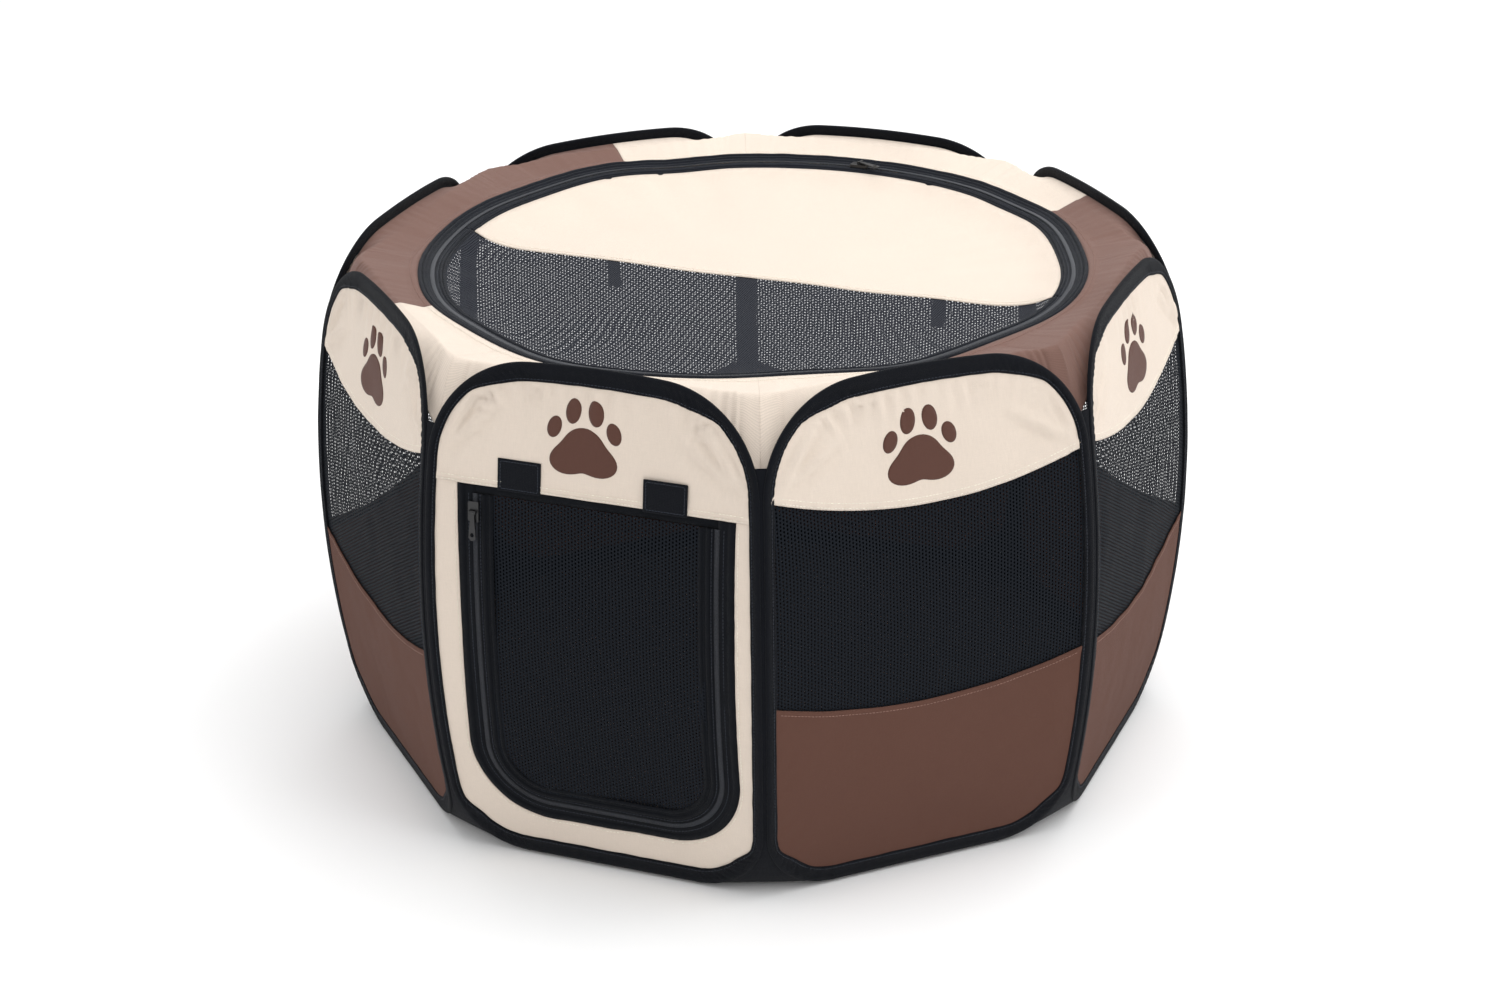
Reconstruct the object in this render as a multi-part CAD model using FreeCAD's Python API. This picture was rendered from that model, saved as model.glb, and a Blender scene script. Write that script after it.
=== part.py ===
"""Eight-sided pop-up pet playpen: spring hoops in folded binding, cloth and mesh
panels, a zipped mesh door, a sloping top skirt, and a zipped round cover.

Units are millimetres.  +Z is up, the origin is the centre of the floor's underside,
and the door panel faces -Y.  Panels are numbered anticlockwise seen from above,
starting with the door panel as number 1.

Every panel is barrel-shaped: it lies on a cylinder whose axis is horizontal, so the
pen is widest at mid height.  A piece of a panel is drawn flat, seen from the front
of the panel, and then cut from a curved shell of the piece's own thickness.
"""
import FreeCAD, Part
import math
import os

# ---- Driving dimensions -------------------------------------------------------

PANELS = 8
HEIGHT = 555.0              # floor underside to the top of the hoops
MID_RADIUS = 480.0          # centre to a corner seam at mid height
END_RADIUS = 446.0          # centre to a corner seam at the floor and at the top
FLOOR_THICKNESS = 2.0
HOOP_LIFT = 2.6             # the hoops stand just clear of the floor sheet

TOP_CORNER = 112.0          # corner radius of a hoop, at the top
BOTTOM_CORNER = 80.0        # and at the floor
TOP_ARCH = 1100.0           # the top edge of a hoop is very slightly arched
SEAM_GAP = 1.5              # hoop edge to the corner seam's own plane

BINDING_WIDTH = 19.0        # folded tape, seen from the front
BINDING_THICKNESS = 5.0
BINDING_WALL = 0.9
WIRE_WIDTH = 2.6            # flat spring steel, in the plane of the panel
WIRE_THICKNESS = 1.6
WIRE_INSET = 1.7            # hoop edge to the wire
CRIMP_LENGTH = 22.0
CLOTH = 1.2                 # thickness given to cloth, mesh and zip tape
CLOTH_INSET = 5.5           # hoop edge to the cloth's raw edge, inside the binding

HEADER_CORNER_Z = 446.0     # curved lower edge of a plain panel's header
HEADER_MIDDLE_Z = 416.0
BASE_CORNER_Z = 231.0       # curved upper edge of a plain panel's base
BASE_MIDDLE_Z = 204.0

DOOR_HEADER_Z = 424.0       # straight lower edge of the door panel's header
DOOR_HALF_WIDTH = 144.0     # outline of the door's zip tape
DOOR_SHIFT = 5.0            # the door is this far to the right of the panel's middle
DOOR_BOTTOM_Z = 57.0
DOOR_CORNER = 80.0
DOOR_TOP_Z = 415.0          # the door hangs from here
TAPE_WIDTH = 12.0           # fixed half of a zip, without the coil
COIL_WIDTH = 4.0
SLIDER_CLEARANCE = 5.0      # coil to the loose half of the tape
LOOSE_TAPE_WIDTH = 8.0

TAB_WIDTH = 47.0            # hook-and-loop tabs on the door panel's header
TAB_HEIGHT = 33.0
TAB_THICKNESS = 1.4
TAB_OFFSET = 78.0           # middle of the pair to the middle of a tab
TAB_SHIFT = 2.0             # the pair is this far to the right of the panel's middle
TAB_Z = 438.0
TAB_CLEARANCE = 0.4

RING_RADIUS = 362.0         # outside of the round zip in the top
RING_DROP = 27.0            # hoop tops to the round zip
COVER_SAG = 20.0            # the cover hangs this far below the zip in the middle
SKIRT_DROP = 84.0           # hoop tops to where the skirt ends in a corner
SKIRT_INSET = 3.0           # hoop edge to the skirt's edge
SKIRT_CLEARANCE = 0.9

SLIDER_LENGTH = 21.0
SLIDER_WIDTH = 11.5
SLIDER_WALL = 1.5
SLIDER_Z = 396.0            # the door's slider at rest, at the top of the zip
PULLER_WIDTH = 8.0
PULLER_LENGTH = 30.0
PULLER_HOLE = 2.2
BAR_RADIUS = 0.8
KNUCKLE_RADIUS = 1.6
PIN_CLEARANCE = 0.06
TOP_PULLER_TURN = -25.0     # degrees that the top puller lies off the zip's line

TIE_POSITIONS = (-165.0, 212.0)
TIE_WIDTH = 13.0
TIE_DROP = 30.0
TIE_BEND = 2.4              # outside radius of the webbing's fold

# ---- Worked out from them -----------------------------------------------------

STEP = 2 * math.pi / PANELS
HALF_STEP = STEP / 2
MID_APOTHEM = MID_RADIUS * math.cos(HALF_STEP)
END_APOTHEM = END_RADIUS * math.cos(HALF_STEP)
MID_Z = (HOOP_LIFT + HEIGHT) / 2
HALF_HEIGHT = (HEIGHT - HOOP_LIFT) / 2
BOW = MID_APOTHEM - END_APOTHEM
BOW_RADIUS = (HALF_HEIGHT ** 2 + BOW ** 2) / (2 * BOW)
BOW_CENTRE_Y = BOW_RADIUS - MID_APOTHEM
EDGE_BOW = BOW * math.tan(HALF_STEP)
EDGE_RADIUS = (HALF_HEIGHT ** 2 + EDGE_BOW ** 2) / (2 * EDGE_BOW)
EDGE_HALF_WIDTH = MID_APOTHEM * math.tan(HALF_STEP) - SEAM_GAP
EDGE_CENTRE_X = EDGE_HALF_WIDTH - EDGE_RADIUS
RING_Z = HEIGHT - RING_DROP
COIL_INSET = TAPE_WIDTH
LOOSE_INSET = COIL_INSET + COIL_WIDTH + SLIDER_CLEARANCE
COVER_INSET = LOOSE_INSET + LOOSE_TAPE_WIDTH
HALF_CLOTH = CLOTH / 2
SLIDER_INSET = COIL_INSET - 4.0
FAR = 1000.0

X_AXIS = FreeCAD.Vector(1, 0, 0)
Y_AXIS = FreeCAD.Vector(0, 1, 0)
Z_AXIS = FreeCAD.Vector(0, 0, 1)


def point(x, y, z):
    return FreeCAD.Vector(x, y, z)


def write(name, shape):
    """One closed node of the assembly, as a STEP file of its own."""
    shape.exportStep(f"parts/{name}.step")


def joined(shapes):
    return Part.makeCompound([solid for shape in shapes for solid in shape.Solids])


# ---- Flat shapes, seen from the front of the door panel (x across, z up) -----------

def flat(edges):
    return Part.Face(Part.Wire(edges))


def rectangle(x0, x1, z0, z1):
    corners = [point(x0, 0, z0), point(x1, 0, z0), point(x1, 0, z1), point(x0, 0, z1)]
    return Part.Face(Part.makePolygon(corners + corners[:1]))


def disc(centre_z, radius):
    return flat([Part.makeCircle(radius, point(0, 0, centre_z), Y_AXIS)])


def arc(centre, radius, start, end):
    """An arc about a centre, from one direction in degrees to another."""
    def on_circle(angle):
        a = math.radians(angle)
        return point(centre[0] + radius * math.cos(a), 0, centre[1] + radius * math.sin(a))
    return Part.Arc(on_circle(start), on_circle((start + end) / 2), on_circle(end)).toShape()


def hoop_corners():
    """Centres of a hoop's right-hand corner arcs, and the directions they end in.

    Each corner arc is tangent to the bowed side and to the arched top or the straight
    bottom, so shrinking every radius by one inset gives the same hoop drawn inside.
    """
    side_reach = EDGE_RADIUS - TOP_CORNER
    arch_z = HEIGHT - TOP_ARCH
    arch_reach = TOP_ARCH - TOP_CORNER
    dx, dz = -EDGE_CENTRE_X, arch_z - MID_Z
    gap = math.hypot(dx, dz)
    along = (side_reach ** 2 - arch_reach ** 2 + gap ** 2) / (2 * gap)
    off = math.sqrt(side_reach ** 2 - along ** 2)
    top = (EDGE_CENTRE_X + (along * dx - off * dz) / gap,
           MID_Z + (along * dz + off * dx) / gap)
    bottom_z = HOOP_LIFT + BOTTOM_CORNER
    bottom_reach = EDGE_RADIUS - BOTTOM_CORNER
    bottom_x = EDGE_CENTRE_X + math.sqrt(bottom_reach ** 2 - (bottom_z - MID_Z) ** 2)
    bottom = (bottom_x, bottom_z)
    side_top = math.degrees(math.atan2(top[1] - MID_Z, top[0] - EDGE_CENTRE_X))
    side_bottom = math.degrees(math.atan2(bottom_z - MID_Z, bottom_x - EDGE_CENTRE_X))
    arch_end = math.degrees(math.atan2(top[1] - arch_z, top[0]))
    return top, bottom, side_top, side_bottom, arch_end


def hoop_outline(inset):
    """The edge of a hoop, or the same shape that many millimetres inside it."""
    top, bottom, side_top, side_bottom, arch_end = hoop_corners()
    right_side = (EDGE_CENTRE_X, MID_Z)
    left_side = (-EDGE_CENTRE_X, MID_Z)
    top_left = (-top[0], top[1])
    bottom_left = (-bottom[0], bottom[1])
    side = EDGE_RADIUS - inset
    upper = TOP_CORNER - inset
    lower = BOTTOM_CORNER - inset
    floor_z = HOOP_LIFT + inset
    return flat([
        arc(right_side, side, side_bottom, side_top),
        arc(top, upper, side_top, arch_end),
        arc((0, HEIGHT - TOP_ARCH), TOP_ARCH - inset, arch_end, 180 - arch_end),
        arc(top_left, upper, 180 - arch_end, 180 - side_top),
        arc(left_side, side, 180 - side_top, 180 - side_bottom),
        arc(bottom_left, lower, 180 - side_bottom, 270),
        Part.LineSegment(point(-bottom[0], 0, floor_z), point(bottom[0], 0, floor_z)).toShape(),
        arc(bottom, lower, -90, side_bottom),
    ])


def door_outline(inset, top_z=DOOR_TOP_Z):
    """The door: straight sides and top, and large round corners at the bottom."""
    half = DOOR_HALF_WIDTH - inset
    radius = DOOR_CORNER - inset
    bottom = DOOR_BOTTOM_Z + inset
    centre_x = half - radius
    centre_z = bottom + radius
    outline = flat([
        Part.LineSegment(point(half, 0, centre_z), point(half, 0, top_z)).toShape(),
        Part.LineSegment(point(half, 0, top_z), point(-half, 0, top_z)).toShape(),
        Part.LineSegment(point(-half, 0, top_z), point(-half, 0, centre_z)).toShape(),
        arc((-centre_x, centre_z), radius, 180, 270),
        Part.LineSegment(point(-centre_x, 0, bottom), point(centre_x, 0, bottom)).toShape(),
        arc((centre_x, centre_z), radius, -90, 0),
    ])
    outline.translate(point(DOOR_SHIFT, 0, 0))
    return outline


def sagging_disc(corner_z, middle_z, half_width):
    """The disc whose lowest part is an edge that dips in the middle of a panel."""
    sag = corner_z - middle_z
    radius = (half_width ** 2 + sag ** 2) / (2 * sag)
    return disc(middle_z + radius, radius)


# ---- From flat shapes to pieces of the curved door panel ----------------------------

def curved(face, inside, outside):
    """The flat shape cut from the panel's curved shell.

    inside and outside are the shell's two faces, measured outward from the middle of
    the cloth."""
    length = 2 * EDGE_HALF_WIDTH + 40
    centre = point(-length / 2, BOW_CENTRE_Y, MID_Z)
    outer = Part.makeCylinder(BOW_RADIUS + outside, length, centre, X_AXIS)
    inner = Part.makeCylinder(BOW_RADIUS + inside, length, centre, X_AXIS)
    prism = face.copy()
    prism.translate(point(0, -MID_APOTHEM - 30, 0))
    return prism.extrude(point(0, 30 + 3 * BOW, 0)).common(outer).cut(inner)


def cloth(face):
    return curved(face, -HALF_CLOTH, HALF_CLOTH)


def raised(shape, z):
    """Moves a piece made at mid height up the panel's curve to another height."""
    lifted = shape.copy()
    angle = math.degrees(math.asin((z - MID_Z) / BOW_RADIUS))
    lifted.rotate(point(0, BOW_CENTRE_Y, MID_Z), X_AXIS, -angle)
    return lifted


def on_panel(shape, number):
    """A piece of panel 1 turned round the pen to another panel."""
    turned = shape.copy()
    turned.rotate(point(0, 0, 0), Z_AXIS, (number - 1) * math.degrees(STEP))
    return turned


# ---- Hoops --------------------------------------------------------------------------

def hoop_wire():
    """The flat spring steel hoop, and the crimped sleeve that joins its ends."""
    wire_end = WIRE_INSET + WIRE_WIDTH
    half = WIRE_THICKNESS / 2
    wire = curved(hoop_outline(WIRE_INSET).cut(hoop_outline(wire_end)), -half, half)
    near_crimp = rectangle(-CRIMP_LENGTH / 2, CRIMP_LENGTH / 2, 0, 40)
    wall, slack = 0.6, 0.05
    outside = hoop_outline(WIRE_INSET - wall - slack).cut(hoop_outline(wire_end + wall + slack))
    hollow = hoop_outline(WIRE_INSET - slack).cut(hoop_outline(wire_end + slack))
    sleeve = curved(outside.common(near_crimp), -half - wall - slack, half + wall + slack)
    sleeve = sleeve.cut(curved(hollow.common(near_crimp), -half - slack, half + slack))
    return joined([wire, sleeve])


def hoop_binding():
    """Tape folded over the wire, with the panel's cloth between its two leaves."""
    half = BINDING_THICKNESS / 2
    tape = curved(hoop_outline(0).cut(hoop_outline(BINDING_WIDTH)), -half, half)
    pocket_face = hoop_outline(BINDING_WALL).cut(hoop_outline(CLOTH_INSET))
    pocket = curved(pocket_face, -half + BINDING_WALL, half - BINDING_WALL)
    slot_face = hoop_outline(CLOTH_INSET - 0.1).cut(hoop_outline(BINDING_WIDTH + 5))
    slot = curved(slot_face, -HALF_CLOTH - 0.1, HALF_CLOTH + 0.1)
    return tape.cut(pocket).cut(slot)


# ---- Plain panels ---------------------------------------------------------------------

def plain_panel():
    """Header cloth, mesh window and base cloth, joined along two dipping edges."""
    whole = hoop_outline(CLOTH_INSET)
    above = sagging_disc(HEADER_CORNER_Z, HEADER_MIDDLE_Z, EDGE_HALF_WIDTH - 8)
    below = sagging_disc(BASE_CORNER_Z, BASE_MIDDLE_Z, EDGE_HALF_WIDTH)
    header = cloth(whole.common(above))
    mesh = cloth(whole.common(below).cut(above))
    base = cloth(whole.cut(below))
    return header, mesh, base


# ---- Door panel -----------------------------------------------------------------------

def door_header():
    return cloth(hoop_outline(CLOTH_INSET).common(rectangle(-FAR, FAR, DOOR_HEADER_Z, FAR)))


def door_surround():
    below_header = rectangle(-FAR, FAR, -FAR, DOOR_HEADER_Z)
    opening = door_outline(0, FAR)
    return cloth(hoop_outline(CLOTH_INSET).common(below_header).cut(opening))


def door_zip_tape():
    """The fixed half of the door's zip, the strip over the door, and the coil."""
    frame = door_outline(0, DOOR_HEADER_Z).cut(door_outline(TAPE_WIDTH))
    track = door_outline(COIL_INSET).cut(door_outline(COIL_INSET + COIL_WIDTH))
    coil_height = 1.2
    coil = curved(track, -coil_height, coil_height + 0.4)
    return cloth(frame).fuse(coil)


def door_flap_tape():
    edge = DOOR_TOP_Z - 0.6
    return cloth(door_outline(LOOSE_INSET, edge).cut(door_outline(COVER_INSET, FAR)))


def door_mesh():
    return cloth(door_outline(COVER_INSET, DOOR_TOP_Z - 0.6))


def tab(side):
    """A hook-and-loop tab lying on the lower edge of the header."""
    inner_face = -MID_APOTHEM - HALF_CLOTH - TAB_CLEARANCE - TAB_THICKNESS
    corner = point(TAB_SHIFT + side * TAB_OFFSET - TAB_WIDTH / 2, inner_face, MID_Z - TAB_HEIGHT / 2)
    plate = Part.makeBox(TAB_WIDTH, TAB_THICKNESS, TAB_HEIGHT, corner)
    upright = [edge for edge in plate.Edges
               if abs(edge.Vertexes[0].Y - edge.Vertexes[1].Y) > TAB_THICKNESS / 2]
    return raised(plate.makeFillet(2.0, upright), TAB_Z)


# ---- Zip slider and puller, drawn flat: x along the zip, y across it, z away from it ----

PLATE_TOP = 3.6
PLATE_BOTTOM = -3.0
BAR_HEIGHT = PLATE_TOP + KNUCKLE_RADIUS + 0.4
PULLER_EYE = 4.4            # length of the puller's knuckle between the crown's posts


def slider():
    """Two plates joined down one side, and a crown whose bar carries the puller.

    y runs from 0, the open side, to the slider's width, where the wall is."""
    half = SLIDER_LENGTH / 2
    plate_z = (PLATE_BOTTOM, PLATE_TOP - SLIDER_WALL)
    plates = [Part.makeBox(SLIDER_LENGTH, SLIDER_WIDTH, SLIDER_WALL, point(-half, 0, z))
              for z in plate_z]
    wall = Part.makeBox(SLIDER_LENGTH, SLIDER_WALL, PLATE_TOP - PLATE_BOTTOM,
                        point(-half, SLIDER_WIDTH - SLIDER_WALL, PLATE_BOTTOM))
    body = plates[0].fuse(plates[1]).fuse(wall)
    corners = [edge for edge in body.Edges
               if abs(edge.Vertexes[0].Z - edge.Vertexes[-1].Z) > 1.0
               and abs(abs(edge.Vertexes[0].X) - half) < 0.01]
    return body.makeFillet(2.2, [edge for edge in corners if edge.Vertexes[0].Y < 1.0])


def crown():
    """Two posts on the slider's top plate with a round bar between them."""
    middle = SLIDER_WIDTH / 2
    post_width = 1.3
    posts = [Part.makeBox(3.2, post_width, BAR_HEIGHT + 1.5 - PLATE_TOP + 0.2,
                          point(-1.6, y, PLATE_TOP - 0.2))
             for y in (middle - PULLER_EYE / 2 - 0.2 - post_width,
                       middle + PULLER_EYE / 2 + 0.2)]
    bar = Part.makeCylinder(BAR_RADIUS, PULLER_EYE + 1.4,
                            point(0, middle - PULLER_EYE / 2 - 0.7, BAR_HEIGHT), Y_AXIS)
    return bar.fuse(posts[0]).fuse(posts[1])


def puller():
    """A knuckle round the crown's bar and a tapered tab with a hole, along +x."""
    middle = SLIDER_WIDTH / 2
    thickness = 1.3
    eye_start = point(0, middle - PULLER_EYE / 2, BAR_HEIGHT)
    knuckle = Part.makeCylinder(KNUCKLE_RADIUS, PULLER_EYE, eye_start, Y_AXIS)
    neck = Part.makeBox(6.5, PULLER_EYE, thickness,
                        point(0, middle - PULLER_EYE / 2, BAR_HEIGHT - thickness / 2))
    tail = [point(5.5, middle - PULLER_EYE / 2, 0), point(PULLER_LENGTH - 3, middle - PULLER_WIDTH / 2, 0),
            point(PULLER_LENGTH, middle - 1.5, 0), point(PULLER_LENGTH, middle + 1.5, 0),
            point(PULLER_LENGTH - 3, middle + PULLER_WIDTH / 2, 0), point(5.5, middle + PULLER_EYE / 2, 0)]
    plate = Part.Face(Part.makePolygon(tail + tail[:1])).extrude(point(0, 0, thickness))
    plate.translate(point(0, 0, BAR_HEIGHT - thickness / 2))
    eye = Part.makeCylinder(BAR_RADIUS + PIN_CLEARANCE, PULLER_EYE + 4,
                            eye_start - point(0, 2, 0), Y_AXIS)
    hole = Part.makeCylinder(PULLER_HOLE, 10, point(PULLER_LENGTH - 6, middle, BAR_HEIGHT - 5), Z_AXIS)
    return knuckle.fuse(neck).fuse(plate).cut(eye).cut(hole)


def placed(shape, rows, origin):
    """The shape with its own axes turned to those that the three rows give."""
    turned = shape.copy()
    (a, b, c), (d, e, f), (g, h, i) = rows
    matrix = FreeCAD.Matrix(a, b, c, origin.x, d, e, f, origin.y, g, h, i, origin.z)
    turned.Placement = FreeCAD.Placement(matrix).multiply(turned.Placement)
    return turned


def on_door_zip(shape):
    """Stands a flat slider piece on the left side of the door's zip, hanging down.

    Its x points down, its y to the middle of the door, and its z out of the panel."""
    left_edge = point(DOOR_SHIFT + SLIDER_INSET - DOOR_HALF_WIDTH, -MID_APOTHEM, MID_Z)
    return raised(placed(shape, ((0, 1, 0), (0, 0, -1), (-1, 0, 0)), left_edge), SLIDER_Z)


def on_round_zip(shape):
    """Lays a flat slider piece on the round zip at the back of the pen (+Y).

    Its x runs round the zip towards -X, and its y points to the middle of the pen."""
    outer_edge = point(0, RING_RADIUS - SLIDER_INSET, RING_Z)
    return placed(shape, ((-1, 0, 0), (0, -1, 0), (0, 0, 1)), outer_edge)


def askew(shape):
    """Turns the crown and puller to lie towards +X, off the zip's line."""
    turned = shape.copy()
    turned.rotate(point(0, SLIDER_WIDTH / 2, 0), Z_AXIS, 180 + TOP_PULLER_TURN)
    return turned


# ---- Top: round zip, cover and skirt -----------------------------------------------------

def ring(outer, inner, low, high):
    """A flat ring about the pen's axis, low to high about the height of the zip."""
    at_low = point(0, 0, RING_Z + low)
    return Part.makeCylinder(outer, high - low, at_low).cut(Part.makeCylinder(inner, high - low, at_low))


def top_zip_tape():
    tape = ring(RING_RADIUS, RING_RADIUS - TAPE_WIDTH, -HALF_CLOTH, HALF_CLOTH)
    coil_outer = RING_RADIUS - COIL_INSET
    return tape.fuse(ring(coil_outer, coil_outer - COIL_WIDTH, -1.2, 1.6))


def half(side):
    """A block over the back (+1) or the front (-1) of the pen, clear of the seam."""
    gap = 0.4
    start = gap if side > 0 else -gap - FAR
    return Part.makeBox(2 * FAR, FAR, FAR, point(-FAR, start, 0))


def cover_tape(side):
    return ring(RING_RADIUS - LOOSE_INSET, RING_RADIUS - COVER_INSET, -HALF_CLOTH, HALF_CLOTH).common(half(side))


def cover_cloth(side):
    """Half of the cover, which sags from its tape to a flat middle."""
    rim = RING_RADIUS - COVER_INSET
    middle = [(rim, 0.0), (rim - 28, -0.62 * COVER_SAG), (rim - 85, -COVER_SAG), (0.0, -COVER_SAG)]
    under = [point(r, 0, RING_Z + z - HALF_CLOTH) for r, z in middle]
    over = [point(r, 0, RING_Z + z + HALF_CLOTH) for r, z in middle]
    section = Part.Face(Part.makePolygon(under + over[::-1] + under[:1]))
    return section.revolve(point(0, 0, 0), Z_AXIS, 360).common(half(side))


def cover_ties():
    """Webbing folded in two, hanging under the seam across the cover."""
    webbing = 1.3
    top_z = RING_Z - COVER_SAG - HALF_CLOTH
    loops = []
    for x in TIE_POSITIONS:
        bend_z = top_z - TIE_DROP + TIE_BEND
        start = point(x - TIE_WIDTH / 2, TIE_BEND + 1.2, 0)
        outside = Part.makeBox(TIE_WIDTH, 2 * TIE_BEND, TIE_DROP - TIE_BEND,
                               start + point(0, -TIE_BEND, bend_z))
        outside = outside.fuse(Part.makeCylinder(TIE_BEND, TIE_WIDTH, start + point(0, 0, bend_z), X_AXIS))
        bore = TIE_BEND - webbing
        inside = Part.makeBox(TIE_WIDTH, 2 * bore, TIE_DROP, start + point(0, -bore, bend_z))
        inside = inside.fuse(Part.makeCylinder(bore, TIE_WIDTH, start + point(0, 0, bend_z), X_AXIS))
        loops.append(outside.cut(inside))
    return joined(loops)


def hoop_top_points():
    """Places along the upper edge of a hoop, from one corner to the other."""
    top, _, side_top, _, arch_end = hoop_corners()
    radius = TOP_CORNER - SKIRT_INSET
    end_z = HEIGHT - SKIRT_DROP
    start = math.degrees(math.asin((end_z - top[1]) / radius))
    steps = 5
    right = []
    for i in range(steps + 1):
        a = math.radians(start + (arch_end - start) * i / steps)
        right.append((top[0] + radius * math.cos(a), top[1] + radius * math.sin(a)))
    middle = [(0.0, HEIGHT - SKIRT_INSET)]
    return [(-x, z) for x, z in right] + middle + right[::-1]


def skirt_row(number):
    """Pairs of points, on the hoop and on the round zip, along one whole panel."""
    rows = []
    inner_radius = RING_RADIUS + 1.5
    for x, z in hoop_top_points():
        surface = BOW_CENTRE_Y - math.sqrt(BOW_RADIUS ** 2 - (z - MID_Z) ** 2)
        y = surface + BINDING_THICKNESS / 2 + SKIRT_CLEARANCE
        turn = (number - 1) * STEP
        direction = math.atan2(y, x) + turn
        reach = math.hypot(x, y)
        rows.append((point(reach * math.cos(direction), reach * math.sin(direction), z),
                     point(inner_radius * math.cos(direction), inner_radius * math.sin(direction), RING_Z)))
    return rows


def skirt(number):
    """A quarter of the top skirt: the whole of one panel and half of each neighbour."""
    middle = len(hoop_top_points()) // 2
    rows = skirt_row(number - 1)[middle:] + skirt_row(number) + skirt_row(number + 1)[:middle + 1]
    down = point(0, 0, -CLOTH)
    faces = []

    def panel(corners):
        faces.append(Part.Face(Part.makePolygon(list(corners) + [corners[0]])))

    for (hoop_a, ring_a), (hoop_b, ring_b) in zip(rows, rows[1:]):
        panel((hoop_a, ring_a, ring_b))
        panel((hoop_a, ring_b, hoop_b))
        panel((hoop_a + down, ring_b + down, ring_a + down))
        panel((hoop_a + down, hoop_b + down, ring_b + down))
        panel((hoop_a, hoop_b, hoop_b + down, hoop_a + down))
        panel((ring_a, ring_a + down, ring_b + down, ring_b))
    for hoop_end, ring_end in (rows[0], rows[-1]):
        panel((hoop_end, hoop_end + down, ring_end + down, ring_end))
    return Part.makeSolid(Part.makeShell(faces))


def floor():
    """The floor sheet: straight under each hoop's straight part, cut off at the corners."""
    (bottom_x, _), reach = hoop_corners()[1], END_APOTHEM + 1
    corners = []
    for k in range(PANELS):
        for x in (-bottom_x, bottom_x):
            direction = math.atan2(-reach, x) + k * STEP
            corners.append(point(math.hypot(x, reach) * math.cos(direction),
                                 math.hypot(x, reach) * math.sin(direction), 0))
    return Part.Face(Part.makePolygon(corners + corners[:1])).extrude(point(0, 0, FLOOR_THICKNESS))


# ---- The whole pen ------------------------------------------------------------------------

def main():
    os.makedirs("parts", exist_ok=True)
    wire, binding = hoop_wire(), hoop_binding()
    header, mesh, base = plain_panel()
    for number in range(1, PANELS + 1):
        write(f"hoop_wire_{number}", on_panel(wire, number))
        write(f"hoop_binding_{number}", on_panel(binding, number))
        if number > 1:
            write(f"panel_header_{number}", on_panel(header, number))
            write(f"panel_mesh_{number}", on_panel(mesh, number))
            write(f"panel_base_{number}", on_panel(base, number))

    write("door_header", door_header())
    write("door_surround", door_surround())
    write("door_zip_tape", door_zip_tape())
    write("door_flap_tape", door_flap_tape())
    write("door_mesh", door_mesh())
    write("door_tab_left", tab(-1))
    write("door_tab_right", tab(1))
    write("door_slider", on_door_zip(slider().fuse(crown())))
    write("door_puller", on_door_zip(puller()))

    write("top_zip_tape", top_zip_tape())
    write("top_slider", on_round_zip(slider().fuse(askew(crown()))))
    write("top_puller", on_round_zip(askew(puller())))
    write("cover_tape_back", cover_tape(1))
    write("cover_tape_front", cover_tape(-1))
    write("cover_shade", cover_cloth(1))
    write("cover_mesh", cover_cloth(-1))
    write("cover_ties", cover_ties())
    for name, number in (("front", 1), ("right", 3), ("back", 5), ("left", 7)):
        write(f"skirt_{name}", skirt(number))
    write("floor", floor())


main()
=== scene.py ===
"""Eight-sided pop-up pet playpen: its finished cloth, netting, zips and trim.

Metres, in the CAD part's own frame: +Z is up, the origin is the centre of the floor's
underside, and the door panel faces -Y.  Panels are numbered anticlockwise seen from
above, from the door panel, which is number 1.

A piece of a panel is laid out flat, seen from the front (x across, z up), and then put
on the panel's bowed surface.  Each cloth piece keeps its flat place in a vector
attribute, which the woven materials read.
"""

import math

import bpy
import numpy as np
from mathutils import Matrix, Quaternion, Vector, noise
from mathutils.geometry import delaunay_2d_cdt


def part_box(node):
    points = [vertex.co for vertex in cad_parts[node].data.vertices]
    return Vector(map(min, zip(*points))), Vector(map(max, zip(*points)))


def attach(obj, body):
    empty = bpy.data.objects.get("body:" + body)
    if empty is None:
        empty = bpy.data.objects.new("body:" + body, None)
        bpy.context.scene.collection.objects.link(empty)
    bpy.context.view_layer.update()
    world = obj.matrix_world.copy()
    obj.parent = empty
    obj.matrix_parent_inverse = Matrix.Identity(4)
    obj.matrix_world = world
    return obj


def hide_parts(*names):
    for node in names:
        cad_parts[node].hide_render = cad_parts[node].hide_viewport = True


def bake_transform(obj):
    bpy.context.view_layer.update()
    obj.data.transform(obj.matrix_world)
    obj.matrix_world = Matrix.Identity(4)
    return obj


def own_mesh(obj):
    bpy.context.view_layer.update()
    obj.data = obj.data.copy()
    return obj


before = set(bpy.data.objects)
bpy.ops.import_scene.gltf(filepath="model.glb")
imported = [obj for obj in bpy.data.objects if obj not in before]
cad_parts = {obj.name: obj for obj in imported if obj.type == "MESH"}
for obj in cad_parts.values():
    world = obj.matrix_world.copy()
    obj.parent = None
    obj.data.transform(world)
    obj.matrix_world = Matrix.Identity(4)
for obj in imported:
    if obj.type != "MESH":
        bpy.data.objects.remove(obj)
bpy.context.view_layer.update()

# ---- Dimensions: the CAD part's own ----

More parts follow.
